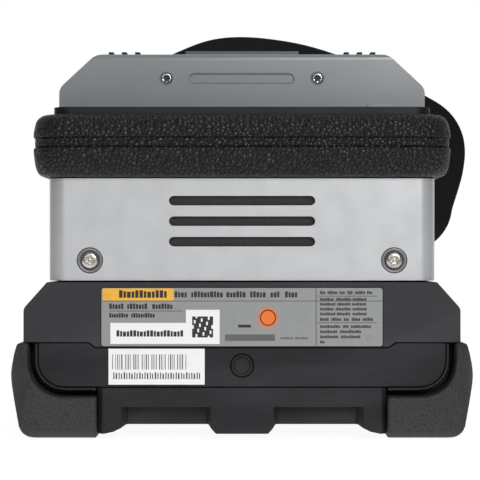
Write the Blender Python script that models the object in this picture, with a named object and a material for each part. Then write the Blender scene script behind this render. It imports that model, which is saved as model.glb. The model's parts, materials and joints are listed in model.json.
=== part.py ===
"""Portable fusion splicer for optical fibre.

A rubber-footed base, a grey body with a bumper round its top, a splicing well under a cover that
opens in two halves, a tube heater, a tilting touch monitor at the front and a webbing hand strap.
The front faces -Y, +Z is up, and the origin is on the ground under the middle of the machine.
Left and right are the operator's, who faces +Y: left is -X.
"""

import math

import bmesh
import bpy
from mathutils import Vector

MM = 0.001
GAP = 0.3 * MM  # between pieces that touch

# ---- Body -----------------------------------------------------------------------------------
BODY_WIDTH = 151.4 * MM
BODY_DEPTH = 156.0 * MM
BODY_SETBACK = 2.5 * MM  # the body stands behind the middle, to leave room for the monitor
BODY_CORNER = 7.0 * MM
BODY_SKIN = 2.0 * MM
HALF = BODY_WIDTH / 2
REAR = BODY_DEPTH / 2 + BODY_SETBACK
FRONT = -BODY_DEPTH / 2 + BODY_SETBACK

# ---- Heights, from the ground up ---------------------------------------------------------------
SKID_LIFT = 1.7 * MM
SKID_HEIGHT = 18.3 * MM
TRAY_HEIGHT = 17.4 * MM
HOUSING_HEIGHT = 23.6 * MM
BODY_HEIGHT = 40.6 * MM
BAND_HEIGHT = 24.6 * MM
RIM_HEIGHT = 3.0 * MM
SKID_TOP = SKID_LIFT + SKID_HEIGHT
TRAY_TOP = SKID_TOP + TRAY_HEIGHT
HOUSING_TOP = TRAY_TOP + HOUSING_HEIGHT
BODY_TOP = HOUSING_TOP + BODY_HEIGHT
BAND_TOP = BODY_TOP + BAND_HEIGHT
DECK_TOP = BAND_TOP + RIM_HEIGHT

# ---- Base ----------------------------------------------------------------------------------------
BASE_PROUD = 1.5 * MM  # the base's rear face stands this far behind the body's
BASE_REAR = REAR + BASE_PROUD
HOUSING_HALF = HALF + 9.3 * MM
SHOULDER_DROP = 10.5 * MM
TRAY_HALF = HALF + 3.6 * MM
TRAY_CORNER = 10.0 * MM
TRAY_WALL = 3.0 * MM
SKID_HALF = HALF - 19.5 * MM
SKID_FRONT = FRONT - 2.5 * MM
SKID_RELIEF = 3.2 * MM
SKID_CHAMFER = 1.8 * MM
NOTCH_INNER = 12.2 * MM  # its ends, half way into the skid
NOTCH_OUTER = 47.2 * MM
NOTCH_DRAFT = 1.6 * MM
NOTCH_OUTER_DRAFT = 2.5 * MM
NOTCH_DEPTH = 6.5 * MM
NOTCH_HEIGHT = 10.5 * MM
FOOT_OUT_X = HOUSING_HALF + 5.6 * MM
FOOT_OUT_Y = BASE_REAR + 7.0 * MM
FOOT_LENGTH = 39.0 * MM
FOOT_RIM = 1.4 * MM  # its rim beside the tray
FOOT_LIP = 3.6 * MM  # from the tray to the groove's far side
FOOT_PAD = 3.0 * MM
FOOT_GROOVE = 10.0 * MM
PLUG_RADIUS = 4.3 * MM
PLUG_HEIGHT = 8.3 * MM  # above the skid's top

# ---- Labels ----------------------------------------------------------------------------------------
LABEL_WIDTH = 109.4 * MM
LABEL_HEIGHT = 22.7 * MM
LABEL_THICK = 0.4 * MM
STICKER_WIDTH = 37.4 * MM
STICKER_HEIGHT = 14.0 * MM
STICKER_X = 33.2 * MM  # of its middle

# ---- Battery and sockets ---------------------------------------------------------------------------
BAY_FLOOR = 1.3 * MM
BAY_HALF = HALF - 4.2 * MM
BATTERY_LENGTH = 138.0 * MM
BATTERY_WIDTH = 74.0 * MM
BATTERY_HEIGHT = 19.4 * MM
LATCH_TRAVEL = 5.0 * MM
LATCH_LENGTH = 10.0 * MM
LATCH_HEIGHT = 6.0 * MM
PORT_Y = -3.0 * MM
PORT_WIDTH = 37.0 * MM
PORT_HEIGHT = 9.4 * MM
PORT_DEPTH = 13.0 * MM
FLAP_THICK = 1.8 * MM
JACK_RADIUS = 3.6 * MM
USB_WIDTH = 13.0 * MM
USB_HEIGHT = 5.2 * MM
SOCKET_DEPTH = 8.0 * MM

# ---- Rear cover ------------------------------------------------------------------------------------
VENT_LENGTH = 57.0 * MM
VENT_HEIGHT = 3.7 * MM
VENT_PITCH = 8.0 * MM
VENT_MIDDLE = 23.5 * MM  # above the housing
SCREW_X = HALF - 16.4 * MM
SCREW_Z = HOUSING_TOP + 8.2 * MM
SCREW_CUP = 5.1 * MM
SCREW_HEAD = 3.3 * MM
SCREW_SHANK = 2.0 * MM
FAN_SIZE = 38.0 * MM
FAN_DEPTH = 10.0 * MM
FAN_BLADES = 7

# ---- Splicing well and its cover -----------------------------------------------------------------------
DECK_INSET = 1.7 * MM
COVER_INSET = 3.0 * MM
COVER_HALF = HALF - COVER_INSET
COVER_REAR = REAR - 14.5 * MM
COVER_DEPTH = 62.0 * MM
COVER_HEIGHT = 21.7 * MM
COVER_WALL = 2.2 * MM
COVER_SIDE = 8.0 * MM  # upright part of its sides
COVER_SLOPE = 14.8 * MM  # width of its sloped part
COVER_LIFT = 0.4 * MM
COVER_FRONT = COVER_REAR - COVER_DEPTH
SEAM = (COVER_REAR + COVER_FRONT) / 2
COVER_BASE = DECK_TOP + COVER_LIFT
COVER_TOP = COVER_BASE + COVER_HEIGHT
HINGE_OUT = 1.2 * MM  # hinge axis beyond the cover's wall
HINGE_DROP = 1.0 * MM  # hinge axis below the deck
PIN_RADIUS = 1.0 * MM
KNUCKLE_RADIUS = 1.9 * MM
KNUCKLE_X = 50.0 * MM
KNUCKLE_LENGTH = 11.0 * MM
WELL_HALF = HALF - 13.7 * MM
WELL_DEPTH = COVER_DEPTH - 4.0 * MM
WELL_FLOOR = DECK_TOP - 22.9 * MM
EMBOSS_LENGTH = 41.4 * MM
EMBOSS_HEIGHT = 3.7 * MM
EMBOSS_DEPTH = 0.6 * MM
COVER_SCREW_X = 30.0 * MM
COVER_SCREW_RISE = 12.0 * MM  # above the cover's lower edge
RIB_FIRST = 42.0 * MM
RIB_PITCH = 5.3 * MM
LIP_HALF = 23.0 * MM
POCKET_DEPTH = 0.9 * MM
RIB_PROUD = 1.5 * MM
LIP_PROUD = 2.6 * MM

# ---- Splicing mechanism -----------------------------------------------------------------------------
FIBRE_Z = WELL_FLOOR + 15.6 * MM
STAGE_NEAR = 22.0 * MM
STAGE_LENGTH = 33.0 * MM
STAGE_WIDTH = 22.0 * MM
CLAMP_HEIGHT = 3.4 * MM
GROOVE_BLOCK_X = 7.5 * MM
GROOVE_BLOCK_LENGTH = 8.0 * MM
ELECTRODE_RADIUS = 0.75 * MM
ELECTRODE_GAP = 2.4 * MM

# ---- Tube heater -------------------------------------------------------------------------------------
HEATER_HALF = 42.0 * MM
HEATER_LID_HALF = 31.0 * MM
HEATER_REAR = COVER_FRONT - 27.5 * MM
HEATER_DEPTH = 34.0 * MM
HEATER_HEIGHT = 6.5 * MM
LID_HEIGHT = 6.2 * MM
TROUGH_WIDTH = 5.4 * MM
TROUGH_HALF = 30.0 * MM

# ---- Monitor -------------------------------------------------------------------------------------------
MONITOR_HALF = HALF - 2.7 * MM
MONITOR_THICK = 11.7 * MM
MONITOR_BACK = 2.4 * MM
MONITOR_AXIS_Z = BAND_TOP - 8.2 * MM
MONITOR_DROP = 76.0 * MM  # from its pivot to its lower edge
MONITOR_REAR = FRONT - 1.0 * MM
MONITOR_AXIS_Y = MONITOR_REAR - MONITOR_THICK / 2
SCREEN_HALF = 56.0 * MM
SCREEN_HEIGHT = 64.6 * MM
SCREEN_THICK = 1.3 * MM
SCREEN_RISE = 7.7 * MM  # above the monitor's lower edge
KEY_X = HALF - 10.7 * MM
KEY_RADIUS = 4.4 * MM
CURSOR_RADIUS = 6.0 * MM
KEY_DEPTH = 4.0 * MM  # of its recess
KEY_TRAVEL = 0.6 * MM
KEY_PROUD = 0.7 * MM
PIVOT_RADIUS = 2.0 * MM
EAR_THICK = 5.0 * MM

# ---- Hand strap --------------------------------------------------------------------------------------------
STRAP_WIDTH = 20.0 * MM
STRAP_THICK = 1.6 * MM
ANCHOR_BACK = 15.5 * MM  # behind the body's front face
ANCHOR_OUT = 3.6 * MM  # middle of the slot beyond the body
ANCHOR_Y = FRONT + ANCHOR_BACK
ANCHOR_LOW = HOUSING_TOP + 1.5 * MM
ANCHOR_HEIGHT = 8.0 * MM
# The strap's middle line and its turn about that line, from the left anchor over the top to the
# right one: x, y, z in millimetres and the turn in degrees.
STRAP_ROUTE = (
    (-79.3, -60.0, 64.5, 0),
    (-79.3, -60.0, 71.2, 0),
    (-80.6, -60.3, 75.4, 13),
    (-83.6, -60.8, 79.6, 32),
    (-87.0, -61.3, 84.0, 48),
    (-89.6, -61.9, 89.4, 57),
    (-91.2, -62.5, 96.0, 58),
    (-93.8, -63.2, 104.0, 58),
    (-96.0, -64.0, 112.0, 58),
    (-96.9, -64.5, 120.4, 58),
    (-95.6, -65.3, 127.6, 57),
    (-91.4, -66.2, 134.0, 55),
    (-83.4, -67.0, 139.6, 52),
    (-66.0, -67.5, 149.0, 47),
    (-47.0, -68.0, 158.2, 43),
    (-30.0, -68.0, 163.9, 42),
    (-14.0, -68.0, 166.9, 42),
    (1.0, -68.0, 168.0, 42),
    (14.0, -68.0, 166.6, 42),
    (27.0, -68.0, 162.1, 40),
    (42.0, -67.8, 155.4, 36),
    (58.0, -67.2, 147.6, 30),
    (72.0, -66.4, 139.6, 22),
    (82.0, -65.4, 130.8, 13),
    (85.6, -64.4, 120.0, 4),
    (84.8, -63.4, 108.0, 2),
    (82.6, -62.0, 96.0, 0),
    (80.6, -60.8, 84.5, 0),
    (79.3, -60.0, 72.0, 0),
    (79.3, -60.0, 64.5, 0),
)
STRAP_STEPS = 3  # stretches between two points of the route


# ---- Tools -----------------------------------------------------------------------------------------


def material(name, colour, roughness, metallic=0.0):
    made = bpy.data.materials.new(name)
    made.use_nodes = True
    shader = made.node_tree.nodes["Principled BSDF"]
    shader.inputs["Base Color"].default_value = (*colour, 1)
    shader.inputs["Roughness"].default_value = roughness
    shader.inputs["Metallic"].default_value = metallic
    return made


def new_object(name, points, faces):
    """A closed mesh object with its faces pointing out."""
    mesh = bpy.data.meshes.new(name)
    mesh.from_pydata([tuple(p) for p in points], [], faces)
    tidy = bmesh.new()
    tidy.from_mesh(mesh)
    bmesh.ops.recalc_face_normals(tidy, faces=tidy.faces)
    tidy.to_mesh(mesh)
    tidy.free()
    made = bpy.data.objects.new(name, mesh)
    bpy.context.scene.collection.objects.link(made)
    return made


def rounded(corners, steps=5):
    """An outline's points. A corner is (a, b) or, where it is rounded, (a, b, radius)."""
    points = []
    count = len(corners)
    for i, corner in enumerate(corners):
        here = Vector(corner[:2])
        if len(corner) == 2 or corner[2] <= 0:
            points.append(tuple(here))
            continue
        before = (Vector(corners[i - 1][:2]) - here).normalized()
        after = (Vector(corners[(i + 1) % count][:2]) - here).normalized()
        half = before.angle(after) / 2
        middle = here + (before + after).normalized() * (corner[2] / math.sin(half))
        start = here + before * (corner[2] / math.tan(half)) - middle
        turn = start.angle_signed(here + after * (corner[2] / math.tan(half)) - middle)
        for k in range(steps + 1):
            angle = -turn * k / steps
            points.append(
                (
                    middle.x + start.x * math.cos(angle) - start.y * math.sin(angle),
                    middle.y + start.x * math.sin(angle) + start.y * math.cos(angle),
                )
            )
    return points


def rectangle(half, low, high, radius=0.0):
    return rounded([(-half, low, radius), (half, low, radius), (half, high, radius), (-half, high, radius)])


def stadium(middle_a, middle_b, length, height, steps=8):
    """A slot's outline, long in the first direction."""
    radius = height / 2
    reach = length / 2 - radius
    points = []
    for side in (1, -1):
        for k in range(steps + 1):
            if side > 0:
                angle = side * math.pi / 2 * (2 * k / steps - 1)
            else:
                angle = math.pi / 2 + math.pi * k / steps
            points.append(
                (middle_a + side * reach + radius * math.cos(angle), middle_b + radius * math.sin(angle))
            )
    return points


AXES = {
    "X": lambda a, b, s: (s, a, b),
    "Y": lambda a, b, s: (a, s, b),
    "Z": lambda a, b, s: (a, b, s),
}


def prism(outline, axis, low, high, name="shape"):
    """The outline carried along an axis. Its two coordinates are the other axes, in X, Y, Z order."""
    place = AXES[axis]
    count = len(outline)
    points = [place(a, b, s) for s in (low, high) for a, b in outline]
    faces = [list(range(count)), list(range(count, 2 * count))]
    faces += [[i, (i + 1) % count, count + (i + 1) % count, count + i] for i in range(count)]
    return new_object(name, points, faces)


def block(low, high, name="shape"):
    outline = [(low[0], low[1]), (high[0], low[1]), (high[0], high[1]), (low[0], high[1])]
    return prism(outline, "Z", low[2], high[2], name)


def turned(profile, axis, middle, name="shape", steps=20):
    """A profile of (radius, place along the axis) turned about an axis through middle. It starts and ends
    on the axis, or is a closed ring off it."""
    place = AXES[axis]
    points, rows = [], []
    for radius, along in profile:
        if radius == 0:
            rows.append([len(points)])
            points.append(place(middle[0], middle[1], along))
            continue
        rows.append([len(points) + k for k in range(steps)])
        for k in range(steps):
            angle = 2 * math.pi * (k + 0.5) / steps
            a = middle[0] + radius * math.cos(angle)
            b = middle[1] + radius * math.sin(angle)
            points.append(place(a, b, along))
    pairs = list(zip(rows, rows[1:]))
    if profile[0][0]:
        pairs.append((rows[-1], rows[0]))
    faces = []
    for first, second in pairs:
        for k in range(steps):
            after = (k + 1) % steps
            if len(first) == 1:
                faces.append([first[0], second[k], second[after]])
            elif len(second) == 1:
                faces.append([first[k], first[after], second[0]])
            else:
                faces.append([first[k], first[after], second[after], second[k]])
    return new_object(name, points, faces)


def rod(radius, axis, low, high, middle, name="shape", steps=20):
    return turned([(0, low), (radius, low), (radius, high), (0, high)], axis, middle, name, steps)


def combine(base, operation, others):
    """Applies a Boolean of each other object to base, and removes those objects."""
    for other in others:
        modifier = base.modifiers.new("Boolean", "BOOLEAN")
        modifier.operation = operation
        modifier.solver = "EXACT"
        modifier.object = other
        graph = bpy.context.evaluated_depsgraph_get()
        mesh = bpy.data.meshes.new_from_object(base.evaluated_get(graph))
        base.modifiers.clear()
        base.data = mesh
        bpy.data.objects.remove(other)
    return base


def cut(base, *others):
    return combine(base, "DIFFERENCE", others)


def join(base, *others):
    return combine(base, "UNION", others)


def keep(base, *others):
    return combine(base, "INTERSECT", others)


def mirrored(obj, axis, middle=0.0):
    """The same object on the other side of a plane across the axis."""
    index = "XYZ".index(axis)
    mesh = obj.data
    for vertex in mesh.vertices:
        vertex.co[index] = 2 * middle - vertex.co[index]
    mesh.flip_normals()
    return obj


def finish(obj, name, look, pivot=(0, 0, 0)):
    """Names the object, gives it its material and puts its origin on its pivot."""
    obj.name = name
    obj.data.name = name
    obj.data.materials.clear()
    obj.data.materials.append(look)
    for vertex in obj.data.vertices:
        vertex.co -= Vector(pivot)
    obj.location = pivot
    obj.data.shade_smooth()
    obj.data.set_sharp_from_angle(angle=math.radians(32))
    return obj


for old in list(bpy.data.objects):
    bpy.data.objects.remove(old)

SILVER = material("silver_paint", (0.56, 0.57, 0.59), 0.42, 0.35)
GREY = material("grey_paint", (0.26, 0.275, 0.29), 0.42, 0.35)
BLACK = material("black_plastic", (0.035, 0.035, 0.04), 0.6)
RUBBER = material("black_rubber", (0.03, 0.03, 0.033), 0.78)
STEEL = material("steel", (0.7, 0.68, 0.64), 0.28, 1.0)
DARK_STEEL = material("dark_steel", (0.05, 0.05, 0.055), 0.35, 0.9)
ALUMINIUM = material("aluminium", (0.62, 0.63, 0.65), 0.4, 0.9)
CERAMIC = material("ceramic", (0.8, 0.79, 0.74), 0.4)
FOAM = material("filter_foam", (0.03, 0.03, 0.032), 0.95)
BOARD = material("circuit_board", (0.02, 0.12, 0.05), 0.5)
LABEL = material("label_foil", (0.45, 0.46, 0.46), 0.4, 0.3)
PAPER = material("white_paper", (0.85, 0.85, 0.85), 0.6)
SCREEN = material("screen_glass", (0.012, 0.013, 0.016), 0.08)
WEBBING = material("webbing", (0.02, 0.02, 0.023), 0.9)
WRAP = material("battery_wrap", (0.045, 0.045, 0.05), 0.55)


# ---- Base ------------------------------------------------------------------------------------------


def skid_plate():
    """The bottom plate: three runners on its underside, and finger notches in its front and rear faces."""
    chamfer = SKID_CHAMFER
    plan = rounded(
        [
            (-SKID_HALF, SKID_FRONT + chamfer),
            (-SKID_HALF + chamfer, SKID_FRONT),
            (SKID_HALF - chamfer, SKID_FRONT),
            (SKID_HALF, SKID_FRONT + chamfer),
            (SKID_HALF, BASE_REAR - chamfer),
            (SKID_HALF - chamfer, BASE_REAR),
            (-SKID_HALF + chamfer, BASE_REAR),
            (-SKID_HALF, BASE_REAR - chamfer),
        ]
    )
    plate = prism(plan, "Z", SKID_LIFT, SKID_TOP - GAP)
    cutters = []
    for side in (-1, 1):
        roof = SKID_LIFT + SKID_RELIEF
        channel = [
            (side * (NOTCH_INNER - 2.4 * MM), SKID_LIFT - MM),
            (side * (NOTCH_INNER - 2.0 * MM), SKID_LIFT),
            (side * (NOTCH_INNER + 0.8 * MM), roof),
            (side * (NOTCH_OUTER - 1.8 * MM), roof),
            (side * NOTCH_OUTER, roof - MM),
            (side * (NOTCH_OUTER + 2.8 * MM), SKID_LIFT + 0.8 * MM),
            (side * (NOTCH_OUTER + 8.0 * MM), SKID_LIFT - 0.3 * MM),
            (side * (NOTCH_OUTER + 8.0 * MM), SKID_LIFT - MM),
        ]
        cutters.append(prism(channel, "Y", -REAR * 2, REAR * 2))
        for face, inward in ((BASE_REAR, -1), (SKID_FRONT, 1)):
            cutters.append(notch(side, face, inward))
    return finish(cut(plate, *cutters), "skid_plate", BLACK)


def notch(side, face, inward):
    """A finger notch's cutter, whose ends draw in towards its back wall."""
    points = []
    for inner, outer, y in (
        (NOTCH_INNER - NOTCH_DRAFT, NOTCH_OUTER + NOTCH_OUTER_DRAFT, face - inward * NOTCH_DEPTH),
        (NOTCH_INNER + NOTCH_DRAFT, NOTCH_OUTER - NOTCH_OUTER_DRAFT, face + inward * NOTCH_DEPTH),
    ):
        for x, z in (
            (inner, 0), (outer, 0), (outer, SKID_LIFT + NOTCH_HEIGHT), (inner, SKID_LIFT + NOTCH_HEIGHT)
        ):
            points.append((side * x, y, z))
    faces = [[0, 1, 2, 3], [4, 5, 6, 7]] + [[k, (k + 1) % 4, (k + 1) % 4 + 4, k + 4] for k in range(4)]
    return new_object("notch", points, faces)


def tray_outline(grow=0.0, top=TRAY_TOP):
    """The tray as seen from behind, grown outwards."""
    half = TRAY_HALF + grow
    radius = TRAY_CORNER + grow
    return rounded(
        [(-half, SKID_TOP - grow, radius), (half, SKID_TOP - grow, radius), (half, top), (-half, top)], 6
    )


STEP_HALF = LABEL_WIDTH / 2 + 2.8 * MM
STEP_DROP = 2.1 * MM


def step_outline(inset):
    """The dip in the tray's rear wall, and the tab of the housing that fills it but for the inset."""
    half = STEP_HALF - inset
    low = TRAY_TOP - STEP_DROP + inset
    slope = STEP_DROP * 1.3
    return [
        (-half, low),
        (half, low),
        (half + slope, TRAY_TOP + inset),
        (half + slope, TRAY_TOP + 2 * STEP_DROP),
        (-half - slope, TRAY_TOP + 2 * STEP_DROP),
        (-half - slope, TRAY_TOP + inset),
    ]


def chassis_tray():
    """The tub between the skid and the housing. Its rear wall dips where the housing comes down to it."""
    tray = prism(tray_outline(top=TRAY_TOP - GAP), "Y", FRONT, BASE_REAR)
    room = block(
        (-TRAY_HALF + TRAY_WALL, FRONT + TRAY_WALL, SKID_TOP + TRAY_WALL),
        (TRAY_HALF - TRAY_WALL, BASE_REAR - TRAY_WALL, TRAY_TOP + TRAY_WALL),
    )
    dip = prism(step_outline(0.0), "Y", BASE_REAR - 2 * TRAY_WALL, BASE_REAR + TRAY_WALL)
    plug_z = SKID_TOP + PLUG_HEIGHT
    seat = rod(PLUG_RADIUS + GAP, "Y", BASE_REAR - 1.4 * MM, BASE_REAR + TRAY_WALL, (0, plug_z))
    return finish(cut(tray, room, dip, seat), "chassis_tray", BLACK)


def access_plug():
    """A dished rubber plug over the fixing behind the tray's rear wall."""
    face = BASE_REAR + 0.1 * MM
    profile = [
        (0, BASE_REAR - 1.1 * MM),
        (PLUG_RADIUS, BASE_REAR - 1.1 * MM),
        (PLUG_RADIUS, face),
        (PLUG_RADIUS - 0.9 * MM, face),
        (PLUG_RADIUS - 1.2 * MM, face - 0.5 * MM),
        (0, face - 0.5 * MM),
    ]
    return finish(turned(profile, "Y", (0, SKID_TOP + PLUG_HEIGHT), steps=24), "access_plug", RUBBER)


def housing_outline():
    """The lower housing as seen from behind, with sloped shoulders."""
    shoulder = HOUSING_TOP - SHOULDER_DROP
    half = [
        (HOUSING_HALF, TRAY_TOP),
        (HOUSING_HALF, shoulder, 3 * MM),
        (HALF + 0.2 * MM, HOUSING_TOP - GAP),
    ]
    return rounded(half + [(-c[0], *c[1:]) for c in reversed(half)], 4)


def battery_box():
    """Lowest and highest corner of the battery's straight part."""
    low = TRAY_TOP + BAY_FLOOR + GAP
    return (
        (HOUSING_HALF - BATTERY_LENGTH, -BATTERY_WIDTH / 2, low),
        (HOUSING_HALF, BATTERY_WIDTH / 2, low + BATTERY_HEIGHT),
    )


LATCH_LOW_Y = BATTERY_WIDTH / 2 + 4 * MM
LATCH_LOW_Z = TRAY_TOP + 4.5 * MM
LATCH_SEAT = 2.6 * MM
PORT_LOW = TRAY_TOP + BAY_FLOOR + GAP


def lower_housing():
    """The black housing that holds the battery and the sockets, with the label's recess at the rear."""
    shell = prism(housing_outline(), "Y", FRONT, BASE_REAR)
    tab = prism(step_outline(GAP), "Y", BASE_REAR - TRAY_WALL, BASE_REAR)
    room = block(
        (-BAY_HALF, FRONT + TRAY_WALL, TRAY_TOP + BAY_FLOOR),
        (BAY_HALF, BASE_REAR - TRAY_WALL, HOUSING_TOP + TRAY_WALL),
    )
    low, high = battery_box()
    mouth = block(
        (BAY_HALF - TRAY_WALL, low[1] - GAP, TRAY_TOP + BAY_FLOOR),
        (HOUSING_HALF + TRAY_WALL, high[1] + GAP, high[2] + GAP),
    )
    window = block(
        (-HOUSING_HALF - TRAY_WALL, PORT_Y - PORT_WIDTH / 2 - GAP, PORT_LOW - GAP),
        (-BAY_HALF + TRAY_WALL, PORT_Y + PORT_WIDTH / 2 + GAP, PORT_LOW + PORT_HEIGHT + GAP),
    )
    latch_seat = block(
        (HOUSING_HALF - LATCH_SEAT, LATCH_LOW_Y - GAP, LATCH_LOW_Z - GAP),
        (
            HOUSING_HALF + LATCH_SEAT,
            LATCH_LOW_Y + LATCH_LENGTH + LATCH_TRAVEL + GAP,
            LATCH_LOW_Z + LATCH_HEIGHT + GAP,
        ),
    )
    seat = prism(
        rectangle(LABEL_WIDTH / 2 + GAP, *label_span(GAP), 1.2 * MM),
        "Y",
        BASE_REAR - LABEL_THICK - GAP,
        BASE_REAR + TRAY_WALL,
    )
    return finish(cut(join(shell, tab), room, mouth, window, latch_seat, seat), "lower_housing", BLACK)


def label_span(grow=0.0):
    low = TRAY_TOP - STEP_DROP + 0.5 * MM
    return low - grow, low + LABEL_HEIGHT + grow


def labels():
    """The blank rating plate in its recess, and the white asset sticker on the tray."""
    back = BASE_REAR - LABEL_THICK
    plate = prism(rectangle(LABEL_WIDTH / 2, *label_span(), 1.0 * MM), "Y", back, back + LABEL_THICK)
    low = SKID_TOP + 0.9 * MM
    back = BASE_REAR + GAP
    sticker = block(
        (STICKER_X - STICKER_WIDTH / 2, back, low),
        (STICKER_X + STICKER_WIDTH / 2, back + 0.2 * MM, low + STICKER_HEIGHT),
    )
    finish(plate, "rating_label", LABEL)
    finish(sticker, "asset_sticker", PAPER)


def foot(name, x_side, y_side):
    """A corner bumper that is a foot below the tray and a wing beside it."""
    flare = FOOT_OUT_X
    inner = SKID_HALF + GAP
    side = rounded(
        [
            (inner, 0),
            (flare - 5.2 * MM, 0, 6 * MM),
            (flare, 24.5 * MM, 14 * MM),
            (flare - 2.0 * MM, 33.0 * MM, 4 * MM),
            (flare - 3.4 * MM, TRAY_TOP - GAP, 1 * MM),
            (inner, TRAY_TOP - GAP),
        ],
        5,
    )
    body = prism(side, "Y", FOOT_OUT_Y - FOOT_LENGTH, FOOT_OUT_Y)
    deep = FOOT_OUT_Y
    start = deep - FOOT_LENGTH
    lengthwise = rounded(
        [
            (start, 0),
            (deep - 4.2 * MM, 0, 6 * MM),
            (deep, 24.5 * MM, 14 * MM),
            (deep - 2.0 * MM, 33.5 * MM, 4 * MM),
            (deep - 3.4 * MM, TRAY_TOP - GAP, 1 * MM),
            (start + 12 * MM, TRAY_TOP - GAP, 2 * MM),
            (start + 9 * MM, SKID_TOP, 8 * MM),
            (start, SKID_TOP),
        ],
        3,
    )
    plan = rounded(
        [(inner - MM, start - MM), (flare, start - MM), (flare, deep, 13 * MM), (inner - MM, deep)], 8
    )
    body = keep(body, prism(lengthwise, "X", 0, 2 * flare), prism(plan, "Z", -MM, HOUSING_TOP))
    tray_room = prism(tray_outline(GAP, HOUSING_TOP), "Y", 0, 2 * deep)
    rear_lip = prism(tray_outline(FOOT_LIP, HOUSING_TOP), "Y", BASE_REAR - 0.6 * MM, 2 * deep)
    groove = prism(tray_outline(FOOT_LIP, HOUSING_TOP), "Y", BASE_REAR - FOOT_GROOVE, 2 * deep)
    groove = cut(groove, prism(tray_outline(FOOT_RIM, 2 * HOUSING_TOP), "Y", 0, 3 * deep))
    side_lip = block((flare - FOOT_PAD, 0, SKID_TOP - FOOT_LIP), (2 * flare, start + 9 * MM, HOUSING_TOP))
    body = cut(body, tray_room, rear_lip, groove, side_lip)
    if x_side < 0:
        mirrored(body, "X")
    if y_side < 0:
        mirrored(body, "Y")
    return finish(body, name, RUBBER)


def battery():
    """The pack, whose outer end follows the housing's shoulder."""
    low, high = battery_box()
    pack = block(low, high)
    grip = block(
        (HOUSING_HALF - 3 * MM, -16 * MM, low[2] + 3 * MM), (HOUSING_HALF + MM, 16 * MM, low[2] + 8 * MM)
    )
    skin = prism(housing_outline(), "Y", FRONT, BASE_REAR)
    return finish(cut(keep(pack, skin), grip), "battery", WRAP)


def battery_latch():
    """The thumb slider beside the battery."""
    back = HOUSING_HALF - LATCH_SEAT + GAP
    slider = block(
        (back, LATCH_LOW_Y, LATCH_LOW_Z),
        (HOUSING_HALF - 0.2 * MM, LATCH_LOW_Y + LATCH_LENGTH, LATCH_LOW_Z + LATCH_HEIGHT),
    )
    ribs = [
        block(
            (HOUSING_HALF - 0.6 * MM, LATCH_LOW_Y + y * MM, LATCH_LOW_Z + MM),
            (HOUSING_HALF + 0.4 * MM, LATCH_LOW_Y + (y + 1) * MM, LATCH_LOW_Z + LATCH_HEIGHT - MM),
        )
        for y in (2, 4.5, 7)
    ]
    return finish(join(slider, *ribs), "battery_latch", BLACK)


PORT_MIDDLE_Z = PORT_LOW + PORT_HEIGHT / 2
JACK_Y = PORT_Y - 10 * MM
USB_Y = PORT_Y + 7 * MM


def port_block():
    """The moulding with the power jack and the USB socket."""
    face = -HOUSING_HALF + FLAP_THICK + 2 * GAP
    body = block(
        (face, PORT_Y - PORT_WIDTH / 2, PORT_LOW),
        (face + PORT_DEPTH, PORT_Y + PORT_WIDTH / 2, PORT_LOW + PORT_HEIGHT),
    )
    jack = rod(JACK_RADIUS, "X", face - MM, face + SOCKET_DEPTH, (JACK_Y, PORT_MIDDLE_Z))
    usb = block(
        (face - MM, USB_Y - USB_WIDTH / 2, PORT_MIDDLE_Z - USB_HEIGHT / 2),
        (face + SOCKET_DEPTH, USB_Y + USB_WIDTH / 2, PORT_MIDDLE_Z + USB_HEIGHT / 2),
    )
    return finish(cut(body, jack, usb), "port_block", DARK_STEEL)


FLAP_AXIS_X = -HOUSING_HALF + 0.9 * MM
FLAP_AXIS_Z = PORT_LOW + 1.0 * MM


def port_flap():
    """The rubber door over the sockets, which folds down about its lower edge."""
    outer = -HOUSING_HALF
    profile = rounded(
        [
            (outer, PORT_LOW + 0.1 * MM, 0.85 * MM),
            (outer + FLAP_THICK, PORT_LOW + 0.1 * MM, 0.85 * MM),
            (outer + FLAP_THICK, PORT_LOW + PORT_HEIGHT - 0.1 * MM),
            (outer, PORT_LOW + PORT_HEIGHT - 0.1 * MM),
        ],
        3,
    )
    flap = prism(profile, "Y", PORT_Y - PORT_WIDTH / 2 + GAP, PORT_Y + PORT_WIDTH / 2 - GAP)
    tab = block(
        (outer - 0.8 * MM, PORT_Y - 5 * MM, PORT_LOW + 6.6 * MM),
        (outer + 0.5 * MM, PORT_Y + 5 * MM, PORT_LOW + 8.4 * MM),
    )
    return finish(join(flap, tab), "port_flap", RUBBER, (FLAP_AXIS_X, PORT_Y, FLAP_AXIS_Z))


# ---- Body ------------------------------------------------------------------------------------------


def plan_outline(inset, front, rear, corner):
    """A body-wide outline seen from above, rounded at the rear."""
    half = HALF - inset
    return rounded([(-half, front), (half, front), (half, rear, corner), (-half, rear, corner)])


SIDE_FRONT = FRONT + 5.5 * MM  # where the sides meet the front cover


def rear_cover():
    """The silver U of sheet round the sides and rear, with vents and two cupped screw holes."""
    cover = prism(plan_outline(0, SIDE_FRONT, REAR, BODY_CORNER), "Z", HOUSING_TOP + GAP, BODY_TOP - GAP)
    room = prism(
        plan_outline(
            BODY_SKIN, SIDE_FRONT - MM, REAR - BODY_SKIN, BODY_CORNER - BODY_SKIN
        ), "Z", HOUSING_TOP - MM, BODY_TOP + MM
    )
    cutters = [room]
    for row in (-1, 0, 1):
        z = HOUSING_TOP + VENT_MIDDLE + row * VENT_PITCH
        cutters.append(
            prism(stadium(0, z, VENT_LENGTH, VENT_HEIGHT), "Y", REAR - 2 * BODY_SKIN, REAR + BODY_SKIN)
        )
    for side in (-1, 1):
        spot = (side * SCREW_X, SCREW_Z)
        cutters.append(rod(SCREW_CUP, "Y", REAR - 0.9 * MM, REAR + MM, spot, steps=24))
        cutters.append(rod(SCREW_SHANK + GAP, "Y", REAR - 2 * BODY_SKIN, REAR, spot))
    return finish(cut(cover, *cutters), "rear_cover", SILVER)


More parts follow.
